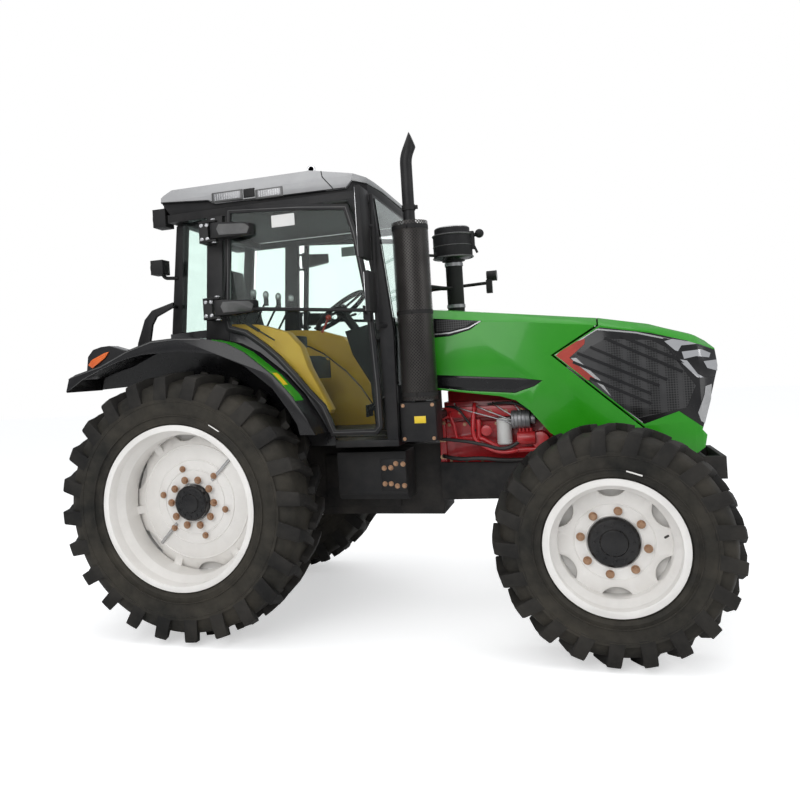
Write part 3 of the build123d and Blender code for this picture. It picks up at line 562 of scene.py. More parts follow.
def whole_tyre(sizes):
    hub, lugs = sizes["hub"], sizes["lugs"]
    first = tread_bar(**sizes)
    opposite = copy_of(first)
    mirror = Matrix.Translation(hub) @ Matrix.Scale(-1, 4, (0, 1, 0)) @ Matrix.Translation(-hub)
    opposite.data.transform(mirror)
    opposite.data.flip_normals()
    spun(opposite, hub, math.pi / lugs)
    pieces = [carcass(**sizes), first, opposite]
    for turn in range(1, lugs):
        for bar_shape in (first, opposite):
            pieces.append(spun(copy_of(bar_shape), hub, 2 * math.pi * turn / lugs))
    pieces[0].data.materials.append(SIDEWALL)
    for bar_shape in pieces[1:]:
        bar_shape.data.materials.append(RUBBER)
    return joined(pieces)


for name, sizes in TYRES.items():
    right = whole_tyre(sizes)
    left = across(right)
    for side, tyre in (("right", right), ("left", left)):
        finish(tyre, f"{name}_tread_{side}", None, f"{name}_wheel_{side}", [f"{name}_tyre_{side}"])
    print(name, "tyre:", len(right.data.polygons), "faces")

# %% [markdown]
# ## Pressings and castings from the frame
# Panels, castings and brackets already have their true shape. A copy of each is welded, its
# sharp edges are rounded by a millimetre or two, and it takes a finish. Light then catches on
# the rounded edges as it does on folded sheet metal and moulded plastic.

# %% Finishes for the frame's pieces
FINISHES = {
    GREEN: ["bonnet_rear", "nose_shell"],
    WHITE: ["rear_rim_right", "rear_rim_left", "front_rim_right", "front_rim_left"],
    SILVER: ["cab_roof"],
    RED: ["engine"],
    PALE: ["filters"],
    YELLOW: ["cab_trim"],
    GLOSS_BLACK: ["bonnet_vents", "side_grilles", "rear_hub_right", "rear_hub_left", "front_hub_right",
                  "front_hub_left", "headlamps", "wing_right", "wing_left"],
    BLACK: ["cab_frame", "cab_base", "door_frame_right", "door_frame_left", "handrails", "drawbar",
            "lift_arms", "exhaust_pipe", "exhaust_guard"],
    MOULDED: ["air_intake", "console", "dash", "mirrors", "roof_liner", "seat", "side_tanks",
              "steering_wheel", "work_lamps"],
    CAST: ["gearbox", "front_frame", "rear_axle", "front_axle", "knuckle_right", "knuckle_left"],
    STEEL: ["lift_rods", "lower_links", "power_shaft"],
    ALLOY: ["radiator"],
    AMBER: ["wing_lamps"],
}
made = {}
for paint, nodes in FINISHES.items():
    for node in nodes:
        made[node] = refined(node, paint, 0.0015)
print("refined:", len(made))

# %% [markdown]
# ## Glass
# Cab glass is lightly tinted. A glass shader bends light through the pane, and a little of the
# shadow ray is let through so that the cab's inside isn't dark.

# %% Glass finish
def glass(name, tint, roughness=0.02):
    paint, tree, shader = new_paint(name)
    fine = put(tree, "ShaderNodeGroup", {"Scale": 4, "Strength": 0.02}, node_tree=GRAIN)
    for entry, value in (("Base Color", (*tint, 1)), ("Roughness", roughness), ("Transmission Weight", 1.0),
                         ("IOR", 1.22)):
        shader.inputs[entry].default_value = value
    link(tree, fine, "Normal", shader, "Normal")
    clear = put(tree, "ShaderNodeBsdfTransparent", {"Color": (*(value ** 0.5 for value in tint), 1)})
    rays = put(tree, "ShaderNodeLightPath")
    mix = put(tree, "ShaderNodeMixShader", {0: (rays, "Is Shadow Ray"), 1: (shader, 0), 2: (clear, 0)})
    link(tree, mix, 0, tree.nodes["Material Output"], "Surface")
    return paint


TINTED = glass("tinted cab glass", (0.66, 0.74, 0.71))
PANES = ("cab_glass", "door_glass_right", "door_glass_left")
for node in PANES:
    made[node] = refined(node, TINTED, 0)
print("glass pieces:", len(PANES))

# %% [markdown]
# ## Wheel details
# Each wheel has plated bolts and nuts, rolled rings on its disc and a valve. A short white dash on
# the tyre's raised sidewall ring is a painted highlight. One bolt of each ring is drawn at three o'clock and
# copied round the hub.

# %% Bolts and nuts
def hex_head(point, way, size, height):
    """A hexagonal head on a thin washer; way is +1 or -1 along Y, away from the surface."""
    point = Vector(point)
    up = Vector((0, way, 0))
    head = bar(point, point + up * height, size, 6)
    washer = bar(point - up * 0.001, point + up * height * 0.22, size * 1.22, 20)
    tip = bar(point + up * height * 0.9, point + up * height * 1.35, size * 0.48, 12)
    return joined([soften(head, size * 0.08, 1), washer, tip])


def round_hub(item, hub, count, first=0):
    """Even copies of an item round a hub; first is the first one's angle in degrees."""
    copies = [spun(copy_of(item), hub, math.radians(first + 360 / count * turn))
              for turn in range(1, count)]
    return [spun(item, hub, math.radians(first))] + copies


def wheel_trim(hub, groups, rings, valve, mark):
    """Bolts, rolled rings, valve and painted highlight dash of one right-hand wheel."""
    bolts = []
    for radius, face, size, count, first in groups:
        bolt = hex_head(hub + Vector((radius, face, 0)), -1, size, size * 0.75)
        bolts += round_hub(bolt, hub, count, first)
    rolled = [ring(hub + Vector((0, face, 0)), radius, thick, (0, 1, 0), 96)
              for radius, face, thick in rings]
    stem = bar(hub + Vector(valve), hub + Vector(valve) + Vector((-0.018, -0.040, 0.0)), 0.006, 12)
    # A short white bar on the tyre's raised sidewall ring: a painted highlight, not a mark on the rubber.
    highlight_bar = bar(*mark, 0.0045, 8)
    return {"bolts": (joined(bolts), COPPER, "steel"), "rings": (joined(rolled), WHITE, "white_paint"),
            "valve": (stem, HOSE, "tyre"), "mark": (highlight_bar, WHITE, "white_paint")}


# %% Trim on all four wheels
# The last pair of points in each row places the painted highlight on the tyre's sidewall ring.
WHEEL_TRIM = {
    "rear": wheel_trim(REAR_HUB, [(0.220, 0.020, 0.017, 6, 12), (0.148, 0.000, 0.0195, 10, 0)],
                       [(0.122, 0.030, 0.006), (0.206, 0.030, 0.005), (0.266, 0.047, 0.006),
                        (0.362, 0.047, 0.005)],
                       (0.410, 0.000, 0.060), (at(257, -1091, 1332), at(322, -1091, 1290))),
    "front": wheel_trim(FRONT_HUB, [(0.168, -0.022, 0.0185, 8, 10)],
                        [(0.140, -0.004, 0.005), (0.202, -0.003, 0.004)],
                        (0.262, -0.030, 0.040), (at(2555, -1085, 1021), at(2629, -1085, 996))),
}
rib_ends = REAR_HUB + Vector((0.19, 0.024, 0)), REAR_HUB + Vector((0.37, 0.040, 0))
ribs = [spun(bar(*rib_ends, 0.010, 16), REAR_HUB, math.radians(turn)) for turn in (-46, 134)]
WHEEL_TRIM["rear"]["ribs"] = (joined(ribs), TRIM, "white_paint")
for wheel, trims in WHEEL_TRIM.items():
    for kind, (item, paint, slot) in trims.items():
        soften(item, 0)
        for side, piece in (("left", across(item)), ("right", item)):
            finish(piece, f"{wheel}_wheel_{kind}_{side}", paint, f"{wheel}_wheel_{side}")
print("wheel trims:", 2 * sum(len(trims) for trims in WHEEL_TRIM.values()))

# %% [markdown]
# The rear disc doesn't reach the rim all the way round. A rolled band behind its scallops is
# where the disc is welded on, and it closes the view through the wheel.

# %% Weld bands
BANDS = {"rear": (REAR_HUB, [(0.360, 0.118), (0.446, 0.118), (0.446, 0.126), (0.360, 0.126)]),
         "front": (FRONT_HUB, [(0.215, 0.056), (0.290, 0.056), (0.290, 0.064), (0.215, 0.064)])}
for wheel, (hub, section) in BANDS.items():
    band = turned(section, hub)
    for side, piece in (("left", across(band)), ("right", band)):
        finish(soften(piece, 0), f"{wheel}_wheel_band_{side}", WHITE, f"{wheel}_wheel_{side}")
print("bands:", len(BANDS) * 2)

# %% [markdown]
# ## Inlays
# Trim on a curved panel has to follow the panel. A welded copy of the panel is grown along its
# normals by a few millimetres and cut out with a flat pattern, so what's left stands proud of
# the panel by exactly that much.

# %% Inlay helper
def inlay(node, points, lift, name, paint, low=-1200, high=-20, both_sides=True):
    """Trim that stands out of a frame piece by lift inside an outline of (x, z) points."""
    twin = welded(node)
    bpy.ops.object.mode_set(mode="EDIT")
    bpy.ops.mesh.select_all(action="SELECT")
    bpy.ops.transform.shrink_fatten(value=lift)
    bpy.ops.object.mode_set(mode="OBJECT")
    cutter = plate([at(x, low, z) for x, z in points], (0, (high - low) / 1000, 0))
    modify(twin, "BOOLEAN", operation="INTERSECT", object=cutter, solver="EXACT")
    bpy.data.objects.remove(cutter)
    soften(twin, 0)
    pieces = [(node, "_right", twin)]
    if both_sides:
        pieces.append((node.replace("_right", "_left"), "_left", across(twin)))
    for host, ending, piece in pieces:
        finish(piece, name + ending, paint, cad_nodes[host]["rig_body"])
    return twin


def strip(points, width):
    """The outline of a band of even width along a line of (x, z) points."""
    upper, lower = [], []
    for index, point in enumerate(points):
        before, after = points[max(index - 1, 0)], points[min(index + 1, len(points) - 1)]
        run = Vector((after[0] - before[0], after[1] - before[1])).normalized()
        upper.append((point[0] - run.y * width / 2, point[1] + run.x * width / 2))
        lower.append((point[0] + run.y * width / 2, point[1] - run.x * width / 2))
    return upper + lower[::-1]


# %% Woven mesh finish
def mesh_paint():
    """Near-black sheet with rows of small round dots painted darker still: painted shade in the mesh's holes."""
    paint = surface("black woven mesh", (0.030, 0.030, 0.031), (0.050, 0.050, 0.052), 0.35, dust=0.12,
                    specular=0.4)
    tree = paint.node_tree
    shader = tree.nodes["Principled BSDF"]
    place = put(tree, "ShaderNodeTexCoord")
    cells = put(tree, "ShaderNodeTexVoronoi", {"Vector": (place, "Object"), "Scale": 70, "Randomness": 0.0})
    # The round cells are painted near-black, as painted shade where the holes would show the dark space behind
    # the mesh.
    hole_shade_mask = put(tree, "ShaderNodeMapRange", {"Value": (cells, "Distance"), "From Min": 0.36, "From Max": 0.46})
    shade = put(tree, "ShaderNodeMix", {0: (hole_shade_mask, "Result"), 6: (0.004, 0.004, 0.004, 1)}, data_type="RGBA")
    tree.links.new(shader.inputs["Base Color"].links[0].from_socket, shade.inputs[7])
    link(tree, shade, 2, shader, "Base Color")
    return paint


MESH = mesh_paint()
print("finish:", MESH.name)

# %% [markdown]
# ## Nose
# The grille is a smoked panel with a mesh field. A red chevron and a silver one point forward
# along its rear corner, a thin bright line follows its upper edge, and slats cross the field.

# %% Grille trim
inlay("side_grilles", [(2330, 1588), (2429, 1661), (2521, 1705), (2767, 1679), (2849, 1627), (2988, 1403),
                       (2932, 1281), (2677, 1233), (2571, 1272), (2479, 1382)], 0.0015, "grille_mesh", MESH)
inlay("side_grilles", [(2234, 1623), (2313, 1686), (2404, 1712), (2399, 1680), (2310, 1604), (2446, 1474),
                       (2404, 1466), (2262, 1598)], 0.004, "chevron_red", REFLECTOR)
inlay("side_grilles", [(2318, 1602), (2348, 1602), (2470, 1470), (2528, 1366), (2446, 1460)],
      0.003, "chevron_silver", TRIM)
inlay("side_grilles", strip([(2232, 1622), (2472, 1762), (2685, 1728), (2880, 1672)], 9), 0.003,
      "grille_line", TRIM)
inlay("side_grilles", strip([(2236, 1618), (2404, 1461), (2560, 1316), (2690, 1206)], 6), 0.003,
      "grille_edge", TRIM)
SLATS = [((2355, 1630), (2794, 1413)), ((2329, 1578), (2749, 1369)), ((2510, 1708), (2924, 1486)),
         ((2429, 1661), (2838, 1445)), ((2418, 1479), (2745, 1312)), ((2600, 1714), (2960, 1530))]
for number, (start, end) in enumerate(SLATS, 1):
    inlay("side_grilles", strip([start, end], 16), 0.007, f"grille_slat_{number}", GLOSS_BLACK)
print("slats:", len(SLATS))

# %% [markdown]
# ## Headlamps
# Each headlamp is a dark bowl with four bright reflector wings that stand out of it. A silver
# strip runs down each front corner, and level slats cross the grille's face between them.

# %% Headlamp shapes
LAMP_WINGS = [
    [(2835, 1668), (2900, 1684), (3010, 1642), (2925, 1638), (2905, 1606), (2890, 1612)],
    [(2925, 1602), (3030, 1610), (3085, 1585), (3075, 1560), (3000, 1572), (2935, 1560)],
    [(2905, 1560), (2950, 1550), (3003, 1469), (3063, 1430), (2985, 1456)],
    [(3040, 1540), (3120, 1545), (3120, 1480), (3060, 1500)],
]
for number, wing_shape in enumerate(LAMP_WINGS, 1):
    inlay("headlamps", wing_shape, 0.004, f"headlamp_wing_{number}", CHROME)
CORNER = [(3042, 1396), (3081, 1406), (3067, 1291), (3026, 1183), (3004, 1201), (2991, 1248), (3034, 1350)]
inlay("side_grilles", CORNER, 0.003, "corner_strip", TRIM, low=-420, high=-215)
SLAT_PITCH, SLAT_HEIGHT = 48, 15
for number, z in enumerate(range(1190, 1580, SLAT_PITCH), 1):
    slat = [(2940, z), (3260, z), (3260, z + SLAT_HEIGHT), (2940, z + SLAT_HEIGHT)]
    inlay("side_grilles", slat, 0.006, f"front_slat_{number}", GLOSS_BLACK, low=-148, high=148,
          both_sides=False)
print("lamp wings:", len(LAMP_WINGS))

# %% [markdown]
# ## Bonnet
# The rear bonnet has a vent high on its flank, drawn out of the panel with a bright lower lip,
# and a long black flash over the engine.

# %% Bonnet trim
LIP = [(1512, 1800), (1615, 1802), (1728, 1824), (1806, 1862)]
VENT = [(1530, 1890), (1770, 1872), (1716, 1836), (1612, 1815), (1530, 1812)]
FLASH = [(1545, 1530), (1940, 1497), (2070, 1478), (1990, 1432), (1730, 1452), (1545, 1478)]
inlay("bonnet_vents", strip(LIP, 8), 0.004, "vent_lip", TRIM)
inlay("bonnet_vents", VENT, 0.0015, "vent_mesh", MESH)
inlay("bonnet_vents", FLASH, 0.003, "flash_panel", GLOSS_BLACK)
print("bonnet trim done")

# %% [markdown]
# ## Exhaust and air intake
# The silencer sits behind a perforated sleeve. Its holes are a regular pattern of cells, laid
# out by angle and height round the sleeve's axis, and they are really open, through Alpha.

# %% Perforated sleeve
EXHAUST = (1446, -635)
SLEEVE_RADIUS, HOLES_PER_METRE, HOLE_EDGE = 0.108, 72, 0.36


def perforated_paint(centre):
    """Black sheet with round holes in slanting rows round an upright axis."""
    paint = surface("perforated black sleeve", (0.036, 0.033, 0.031), (0.060, 0.055, 0.052), 0.35,
                    metallic=0.4, dust=0.10, specular=0.4)
    tree = paint.node_tree
    place = put(tree, "ShaderNodeTexCoord")
    shift = put(tree, "ShaderNodeMapping",
                {"Vector": (place, "Object"), "Location": (-centre.x, -centre.y, 0)})
    split = put(tree, "ShaderNodeSeparateXYZ", {0: (shift, "Vector")})
    angle = put(tree, "ShaderNodeMath", {0: (split, "Y"), 1: (split, "X")}, operation="ARCTAN2")
    around = put(tree, "ShaderNodeMath", {0: (angle, 0), 1: SLEEVE_RADIUS}, operation="MULTIPLY")
    flat = put(tree, "ShaderNodeCombineXYZ", {"X": (around, 0), "Y": (split, "Z")})
    tilt = put(tree, "ShaderNodeMapping", {"Vector": (flat, 0), "Rotation": (0, 0, math.radians(45))})
    cells = put(tree, "ShaderNodeTexVoronoi", {"Vector": (tilt, "Vector"), "Scale": HOLES_PER_METRE,
                                               "Randomness": 0.0}, voronoi_dimensions="2D")
    solid = put(tree, "ShaderNodeMath", {0: (cells, "Distance"), 1: HOLE_EDGE}, operation="GREATER_THAN")
    link(tree, solid, 0, tree.nodes["Principled BSDF"], "Alpha")
    return paint


made["exhaust_guard"].data.materials[0] = perforated_paint(at(*EXHAUST, 0))

# %% Clamps, and painted shade in the stack's mouth
CLAMPS = (1440, 1930, 2440)
bands = [bar(at(*EXHAUST, z - 12), at(*EXHAUST, z + 12), SLEEVE_RADIUS + 0.0018, 48) for z in CLAMPS]
bands.append(bar(at(*EXHAUST, 2548), at(*EXHAUST, 2580), 0.041, 32))
bands += [soften(block(at(1440, -762, z - 9), at(1452, -742, z + 9)), 0.002) for z in CLAMPS]
bands.append(soften(block(at(1480, -642, 2552), at(1502, -628, 2576)), 0.002))
assemble(bands, "exhaust_clamps", CAST)


def cut_off(item, point, normal):
    """Slice an object with a plane, drop the part the normal points to, and close the cut."""
    only(item)
    bpy.ops.object.mode_set(mode="EDIT")
    bpy.ops.mesh.select_all(action="SELECT")
    bpy.ops.mesh.bisect(plane_co=point, plane_no=normal, use_fill=True, clear_outer=True)
    bpy.ops.object.mode_set(mode="OBJECT")
    return item


mouth, slant, flow = at(1492, -635, 2972), Vector((0.941, 0, 0.339)), Vector((64, 0, 143)).normalized()
cut_off(made["exhaust_pipe"], mouth, slant)
# The cut end is closed, and a near-black disc on it stands in for the open pipe's dark inside: painted shade,
# with some real soot.
inside = bar(mouth - flow * 0.12, mouth + flow * 0.12, 0.0315, 32)
assemble([cut_off(inside, mouth + slant * 0.0012, slant)], "exhaust_mouth", HOSE)
shield = soften(block(at(1484, -420, 1235), at(1496, -150, 1470)), 0.003)
finish(shield, "heat_shield", CAST, "chassis")
tag = soften(block(at(1417, -703, 1269), at(1486, -699, 1311)), 0.0015)
finish(tag, "exhaust_box_plate", TAG, "chassis")
screws = [hex_head(at(x, -701, z), -1, 0.009, 0.006) for x in (1352, 1528) for z in (1178, 1376)]
assemble(screws, "exhaust_box_screws", COPPER)

# %% Pre-cleaner
stack = at(1600, 40, 0)
bowl_rings = [ring(stack + Vector((0, 0, z)), radius, thick) for z, radius, thick in
              ((2.475, 0.130, 0.006), (2.325, 0.131, 0.006), (2.400, 0.1305, 0.003))]
assemble(bowl_rings, "intake_rings", GREY)
flange = soften(bar(stack + Vector((0, 0, 2.300)), stack + Vector((0, 0, 2.326)), 0.064, 40, 0.126), 0.003)
finish(flange, "intake_funnel", GLOSS_BLACK, "chassis")
lid_top = ring(stack + Vector((0, 0, 2.5215)), 0.106, 0.008)
knob = soften(bar(at(1600, 40, 2519), at(1600, 40, 2541), 0.022, 24, 0.017), 0.003)
finish(joined([soften(lid_top, 0), knob]), "intake_lid_rim", TRIM, "chassis")
clip = [soften(block(at(1716, 16, 2372), at(1748, 64, 2492)), 0.006), ball(at(1782, 40, 2472), 0.030),
        bar(at(1738, 40, 2462), at(1776, 40, 2472), 0.012, 12),
        bar(at(1740, 40, 2400), at(1762, 40, 2345), 0.008, 12)]
assemble(clip, "intake_clip", MOULDED)
collars = [bar(stack + Vector((0, 0, z)), stack + Vector((0, 0, z + 0.022)), 0.061, 40)
           for z in (1.985, 2.266)]
assemble(collars, "intake_clamps", ALLOY)
arms = [hose([at(1338, -150, 2345), at(1440, -90, 2345), at(1560, 10, 2335), at(1600, 0, 2335)], 0.010),
        hose([at(1338, -150, 2140), at(1430, -120, 2140), at(1540, -20, 2120), at(1590, -10, 2120)], 0.010),
        hose([at(1338, 180, 2140), at(1430, 160, 2140), at(1550, 70, 2120), at(1590, 60, 2120)], 0.010)]
finish(joined(arms), "intake_brackets", BLACK, "chassis")
print("intake and exhaust done")

# %% [markdown]
# ## Engine
# The engine's open right side carries an alternator, an injection pump, pipes and hoses. Bolt
# heads stand along the manifold, the crankcase and the sump.

# %% Engine accessories
alternator = [soften(bar(at(1945, -296, 1243), at(2058, -296, 1243), 0.056, 40), 0.006)]
alternator += [ring(at(x, -296, 1243), 0.055, 0.004, (1, 0, 0)) for x in (1962, 1984, 2006, 2028)]
alternator.append(soften(bar(at(2060, -296, 1243), at(2088, -296, 1243), 0.034, 32), 0.003))
assemble(alternator, "alternator", ALLOY)
pump = [soften(bar(at(1974, -300, 1128), at(2082, -300, 1128), 0.040, 32), 0.005),
        soften(block(at(1990, -322, 1092), at(2050, -280, 1122)), 0.004),
        soften(bar(at(1790, -290, 1180), at(1790, -318, 1180), 0.034, 24), 0.004)]
pump += [bar(at(x, -300, 1160), at(x, -300, 1188), 0.010, 12) for x in (1992, 2014, 2036, 2058)]
assemble(pump, "injection_pump", RED)
pipes = [hose([at(1723, -272, 1352), at(1706, -318, 1240), at(1706, -318, 1135), at(1760, -318, 1085),
               at(1887, -318, 1031), at(1973, -310, 1054)], 0.013)]
pipes.append(hose([at(1560, -262, 1296), at(1560, -300, 1296), at(1590, -312, 1220),
                   at(1600, -300, 1140)], 0.010))
finish(joined(pipes), "water_pipes", RED, "chassis")
hoses = [hose([at(1482, -300, 1136), at(1621, -325, 1125), at(1769, -330, 1096), at(1889, -330, 1056),
               at(1988, -325, 1103), at(2008, -310, 1133)], 0.011),
         hose([at(1500, -250, 1020), at(1600, -300, 1000), at(1750, -300, 1010), at(1900, -290, 985),
               at(2100, -240, 990)], 0.013),
         hose([at(1530, -240, 1330), at(1600, -285, 1350), at(1680, -285, 1230), at(1720, -310, 1180)], 0.008),
         hose([at(2060, -280, 1290), at(2000, -300, 1340), at(1900, -280, 1350), at(1800, -240, 1340)], 0.008)]
finish(joined(hoses), "engine_hoses", HOSE, "chassis")
OUTLETS = (1992, 2014, 2036, 2058)
lines = [hose([at(x, -300, 1186), at(x - 6, -312, 1215), at(1600 + 120 * index, -300, 1330 + 6 * index),
               at(1590 + 120 * index, -228, 1352)], 0.0045) for index, x in enumerate(OUTLETS)]
finish(joined(lines), "injector_lines", STEEL, "chassis")
can = [ring(at(1895, -262, z), 0.0465, 0.0022) for z in (1098, 1110, 1226)]
assemble(can, "filter_beads", PALE)
heads = [hex_head(at(x, -262, 1296), -1, 0.010, 0.007) for x in range(1530, 2110, 95)]
heads += [hex_head(at(x, -190, z), -1, 0.009, 0.006) for x in range(1540, 2160, 100) for z in (982, 1214)]
heads += [hex_head(at(x, -150, 950), -1, 0.008, 0.006) for x in range(1540, 2120, 70)]
heads += [hex_head(at(x, -228, z), -1, 0.011, 0.008) for x in (1490, 1510) for z in (900, 1010, 1120, 1230)]
assemble(heads, "engine_bolts", COPPER)
FRAME_BOLTS = [(1182, 892), (1182, 989), (1221, 892), (1224, 991), (1259, 878), (1257, 1016), (1302, 1012),
               (1304, 880)]
frame_bolts = [hex_head(at(x, -560, z), -1, 0.013, 0.010) for x, z in FRAME_BOLTS]
plate_behind = soften(block(at(1160, -566, 850), at(1318, -558, 1045)), 0.004)
finish(plate_behind, "frame_plate", BLACK, "chassis")
assemble([moved(joined(frame_bolts), (0, -0.006, 0))], "frame_bolts", COPPER)
print("engine bolts:", len(heads))

# %% [markdown]
# ## Cab outside
# The doors hang on cranked arms in grey cast covers with bright bolts. Round each door runs a
# thin pale seal line. The roof has a bevelled panel seam and two lamps a side, and a green
# stripe follows each wing's outer edge.

# %% Door trim
for level, z in {"lower": 2042, "upper": 2525}.items():
    cover = [(300, z - 32), (284, z + 6), (300, z + 34), (448, z + 32), (476, z + 8), (460, z - 30)]
    inlay("door_frame_right", cover, 0.004, f"hinge_cover_{level}", GREY, low=-930, high=-780)
    cap = [soften(bar(at(255, -862, z + end), at(255, -862, z + end + 9), 0.017, 6), 0.0015)
           for end in (67, -76)]
    cap += [hex_head(at(x, -857, z + dz), -1, 0.010, 0.008) for x in (168, 206) for dz in (-44, 44)]
    cap = soften(joined(cap), 0)
    finish(across(cap), f"hinge_bolts_{level}_left", CHROME, "chassis")
    finish(cap, f"hinge_bolts_{level}_right", CHROME, "chassis")
SEAL = [(272, 1962), (282, 1918), (392, 1884), (516, 1790), (602, 1712), (696, 1605), (795, 1480),
        (872, 1396), (915, 1284), (934, 1236), (1192, 1236), (1220, 1264), (1218, 1500), (1194, 2016),
        (1132, 2432), (1090, 2590), (794, 2624), (322, 2660), (274, 1980)]
inlay("door_frame_right", strip(SEAL, 4), 0.0012, "door_seal", GREY, low=-790, high=-760)
for side, way in SIDES.items():
    body = cad_nodes[f"door_glass_{side}"]["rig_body"]
    label = block(at(607, -766 * way, 2520), at(759, -764.4 * way, 2595))
    finish(soften(label, 0), f"blank_label_{side}", PALE, body)
    strut = [bar(at(352, -735 * way, 1966), at(470, -735 * way, 1888), 0.010, 20),
             bar(at(465, -735 * way, 1891), at(570, -735 * way, 1822), 0.005, 16)]
    assemble(strut, f"gas_strut_{side}", HOSE, body)
print("door trim done")

# %% Roof trim
for x0, x1, z0, z1 in ((194, 385, 2745, 2795), (499, 659, 2731, 2778)):
    for side, way in SIDES.items():
        bezel = soften(block(at(x0 - 14, -709 * way, z0 - 10), at(x1 + 14, -680 * way, z1 + 8)), 0.006, 3)
        finish(bezel, f"roof_lamp_bezel_{x0}_{side}", GREY, "chassis")
        bowl = soften(block(at(x0, -711 * way, z0), at(x1, -700 * way, z1)), 0.005, 3)
        finish(bowl, f"roof_lamp_bowl_{x0}_{side}", ALLOY, "chassis")
        ribs = [block(at(x, -712.5 * way, z0 + 3), at(x + 3, -710 * way, z1 - 3))
                for x in range(x0 + 14, x1 - 8, 16)]
        assemble(ribs, f"roof_lamp_ribs_{x0}_{side}", TRIM)
SEAM = [(905, 2890), (930, 2812), (1000, 2726)]
LOWER_LINE = [(-190, 2786), (150, 2760), (205, 2738), (660, 2727), (1076, 2722)]
inlay("cab_roof", strip(SEAM, 6), 0.0012, "roof_seam", MOULDED)
inlay("cab_roof", strip(LOWER_LINE, 5), 0.0012, "roof_lower_line", MOULDED)
for side, way in SIDES.items():
    middle = soften(block(at(404, -710 * way, 2742), at(482, -690 * way, 2800)), 0.006, 3)
    finish(middle, f"roof_lamp_bracket_{side}", MOULDED, "chassis")
eye = [ring(at(775, -420, 2938), 0.022, 0.0072, (0, 1, 0), 32),
       bar(at(775, -420, 2874), at(775, -420, 2918), 0.011, 20),
       soften(bar(at(775, -420, 2873), at(775, -420, 2880), 0.022, 6), 0.002)]
assemble(eye, "roof_eye", CHROME)
hatch = soften(block(at(250, -300, 2868), at(780, 300, 2884)), 0.008, 3)
finish(hatch, "roof_hatch", SILVER, "chassis")

# %% Lamps and mirrors
lenses, bowls, glasses = [], [], []
for way in SIDES.values():
    bowls += [bar(at(-273, -620 * way, 2692), at(-277, -620 * way, 2692), 0.046, 32),
              bar(at(-299, -650 * way, 2364), at(-303, -650 * way, 2364), 0.038, 32)]
    lenses += [ring(at(-276, -620 * way, 2692), 0.047, 0.004, (1, 0, 0)),
               ring(at(-302, -650 * way, 2364), 0.039, 0.004, (1, 0, 0))]
    glasses += [block(at(1211.5, -1004 * way, 2252), at(1215.5, -830 * way, 2648)),
                block(at(1232.5, -984 * way, 1942), at(1236.5, -830 * way, 2163))]
bowls.append(bar(at(1820, 640, 2244), at(1824, 640, 2244), 0.034, 32))
lenses.append(ring(at(1822, 640, 2244), 0.036, 0.004, (1, 0, 0)))
assemble(bowls, "work_lamp_lenses", CHROME)
assemble(lenses, "work_lamp_rims", HOSE)
finish(soften(joined(glasses), 0.001), "mirror_glass", CHROME, "chassis")
print("lamps and mirrors done")

# %% Wing trim
STRIPE = [(255, 1800), (255, 1885), (401, 1835), (560, 1740), (690, 1620), (800, 1495), (770, 1430),
          (630, 1580), (455, 1725), (345, 1785)]
inlay("wing_right", STRIPE, 0.003, "wing_stripe", GREEN, low=-984, high=-850)
PLATE = [(634, 1590), (634, 1660), (691, 1640), (720, 1580), (700, 1540)]
inlay("wing_right", PLATE, 0.0045, "wing_plate", TAG, low=-968, high=-895)
inlay("wing_lamps", strip([(-600, 1760), (-480, 1804)], 6), 0.003, "wing_lamp_slat_upper", AMBER)
inlay("wing_lamps", strip([(-604, 1740), (-486, 1792)], 6), 0.003, "wing_lamp_slat_lower", AMBER)
EDGE_LINE = [(-786, 1652), (-720, 1672), (-529, 1720), (-330, 1804), (-158, 1853), (17, 1860), (188, 1848)]
inlay("wing_right", strip(EDGE_LINE, 7), 0.002, "wing_edge_line", GREY, low=-1010, high=-992)
print("wing trim done")

# %% [markdown]
# ## Cab inside
# The seat is upholstered: each pad starts as a plain block a little smaller than the finished
# cushion and is inflated as cloth, and no point moves further than a set bulge. Smaller pieces
# give the console its knobs and red lever and the pedestal its stalks and dials.

# %% Cushion fabric
FABRIC = surface("grey seat fabric", (0.040, 0.041, 0.044), (0.075, 0.076, 0.080), 0.85, dust=0.10, mottle=30,
                 grain=420, grain_strength=0.18, specular=0.2)


def cushion(low, high, name, bulge, tip=0.0, hinge=None):
    """A seat pad grown from a block: remeshed, inflated as cloth, limited to a bulge and smoothed."""
    pad = block(low, high)
    if tip:
        spun(pad, hinge, tip)
    soften(pad, 0.022, 3)
    modify(pad, "REMESH", mode="VOXEL", voxel_size=0.006)
    start = [vertex.co.copy() for vertex in pad.data.vertices]
    cloth = pad.modifiers.new("Cloth", "CLOTH")
    cloth.settings.use_pressure = True
    cloth.settings.uniform_pressure_force = 4
    cloth.settings.effector_weights.gravity = 0
    for step in range(1, 21):
        bpy.context.scene.frame_set(step)
    only(pad)
    bpy.ops.object.modifier_apply(modifier="Cloth")
    bpy.context.scene.frame_set(1)
    for vertex, old in zip(pad.data.vertices, start):
        shift = vertex.co - old
        if shift.length > bulge:
            vertex.co = old + shift.normalized() * bulge
    modify(pad, "SUBSURF", levels=1, render_levels=1)
    only(pad)
    bpy.ops.object.shade_smooth()
    finish(pad, name, FABRIC, "chassis")
    return pad


lean = math.radians(-11)
waist = at(120, 0, 1600)
pads = [cushion(at(110, -235, 1600), at(615, 235, 1712), "seat_cushion", 0.014),
        cushion(at(70, -225, 1725), at(176, 225, 2190), "seat_back", 0.014, lean, waist),
        cushion(at(60, -122, 2215), at(150, 122, 2370), "head_rest", 0.010, lean, waist)]
print("cushions:", [len(pad.data.polygons) for pad in pads])

# %% Seat piping
piping = [hose([at(100, way * 242, 1708), at(360, way * 246, 1722), at(610, way * 240, 1712)], 0.004)
          for way in (1, -1)]
finish(joined(piping), "seat_piping", TRIM, "chassis")

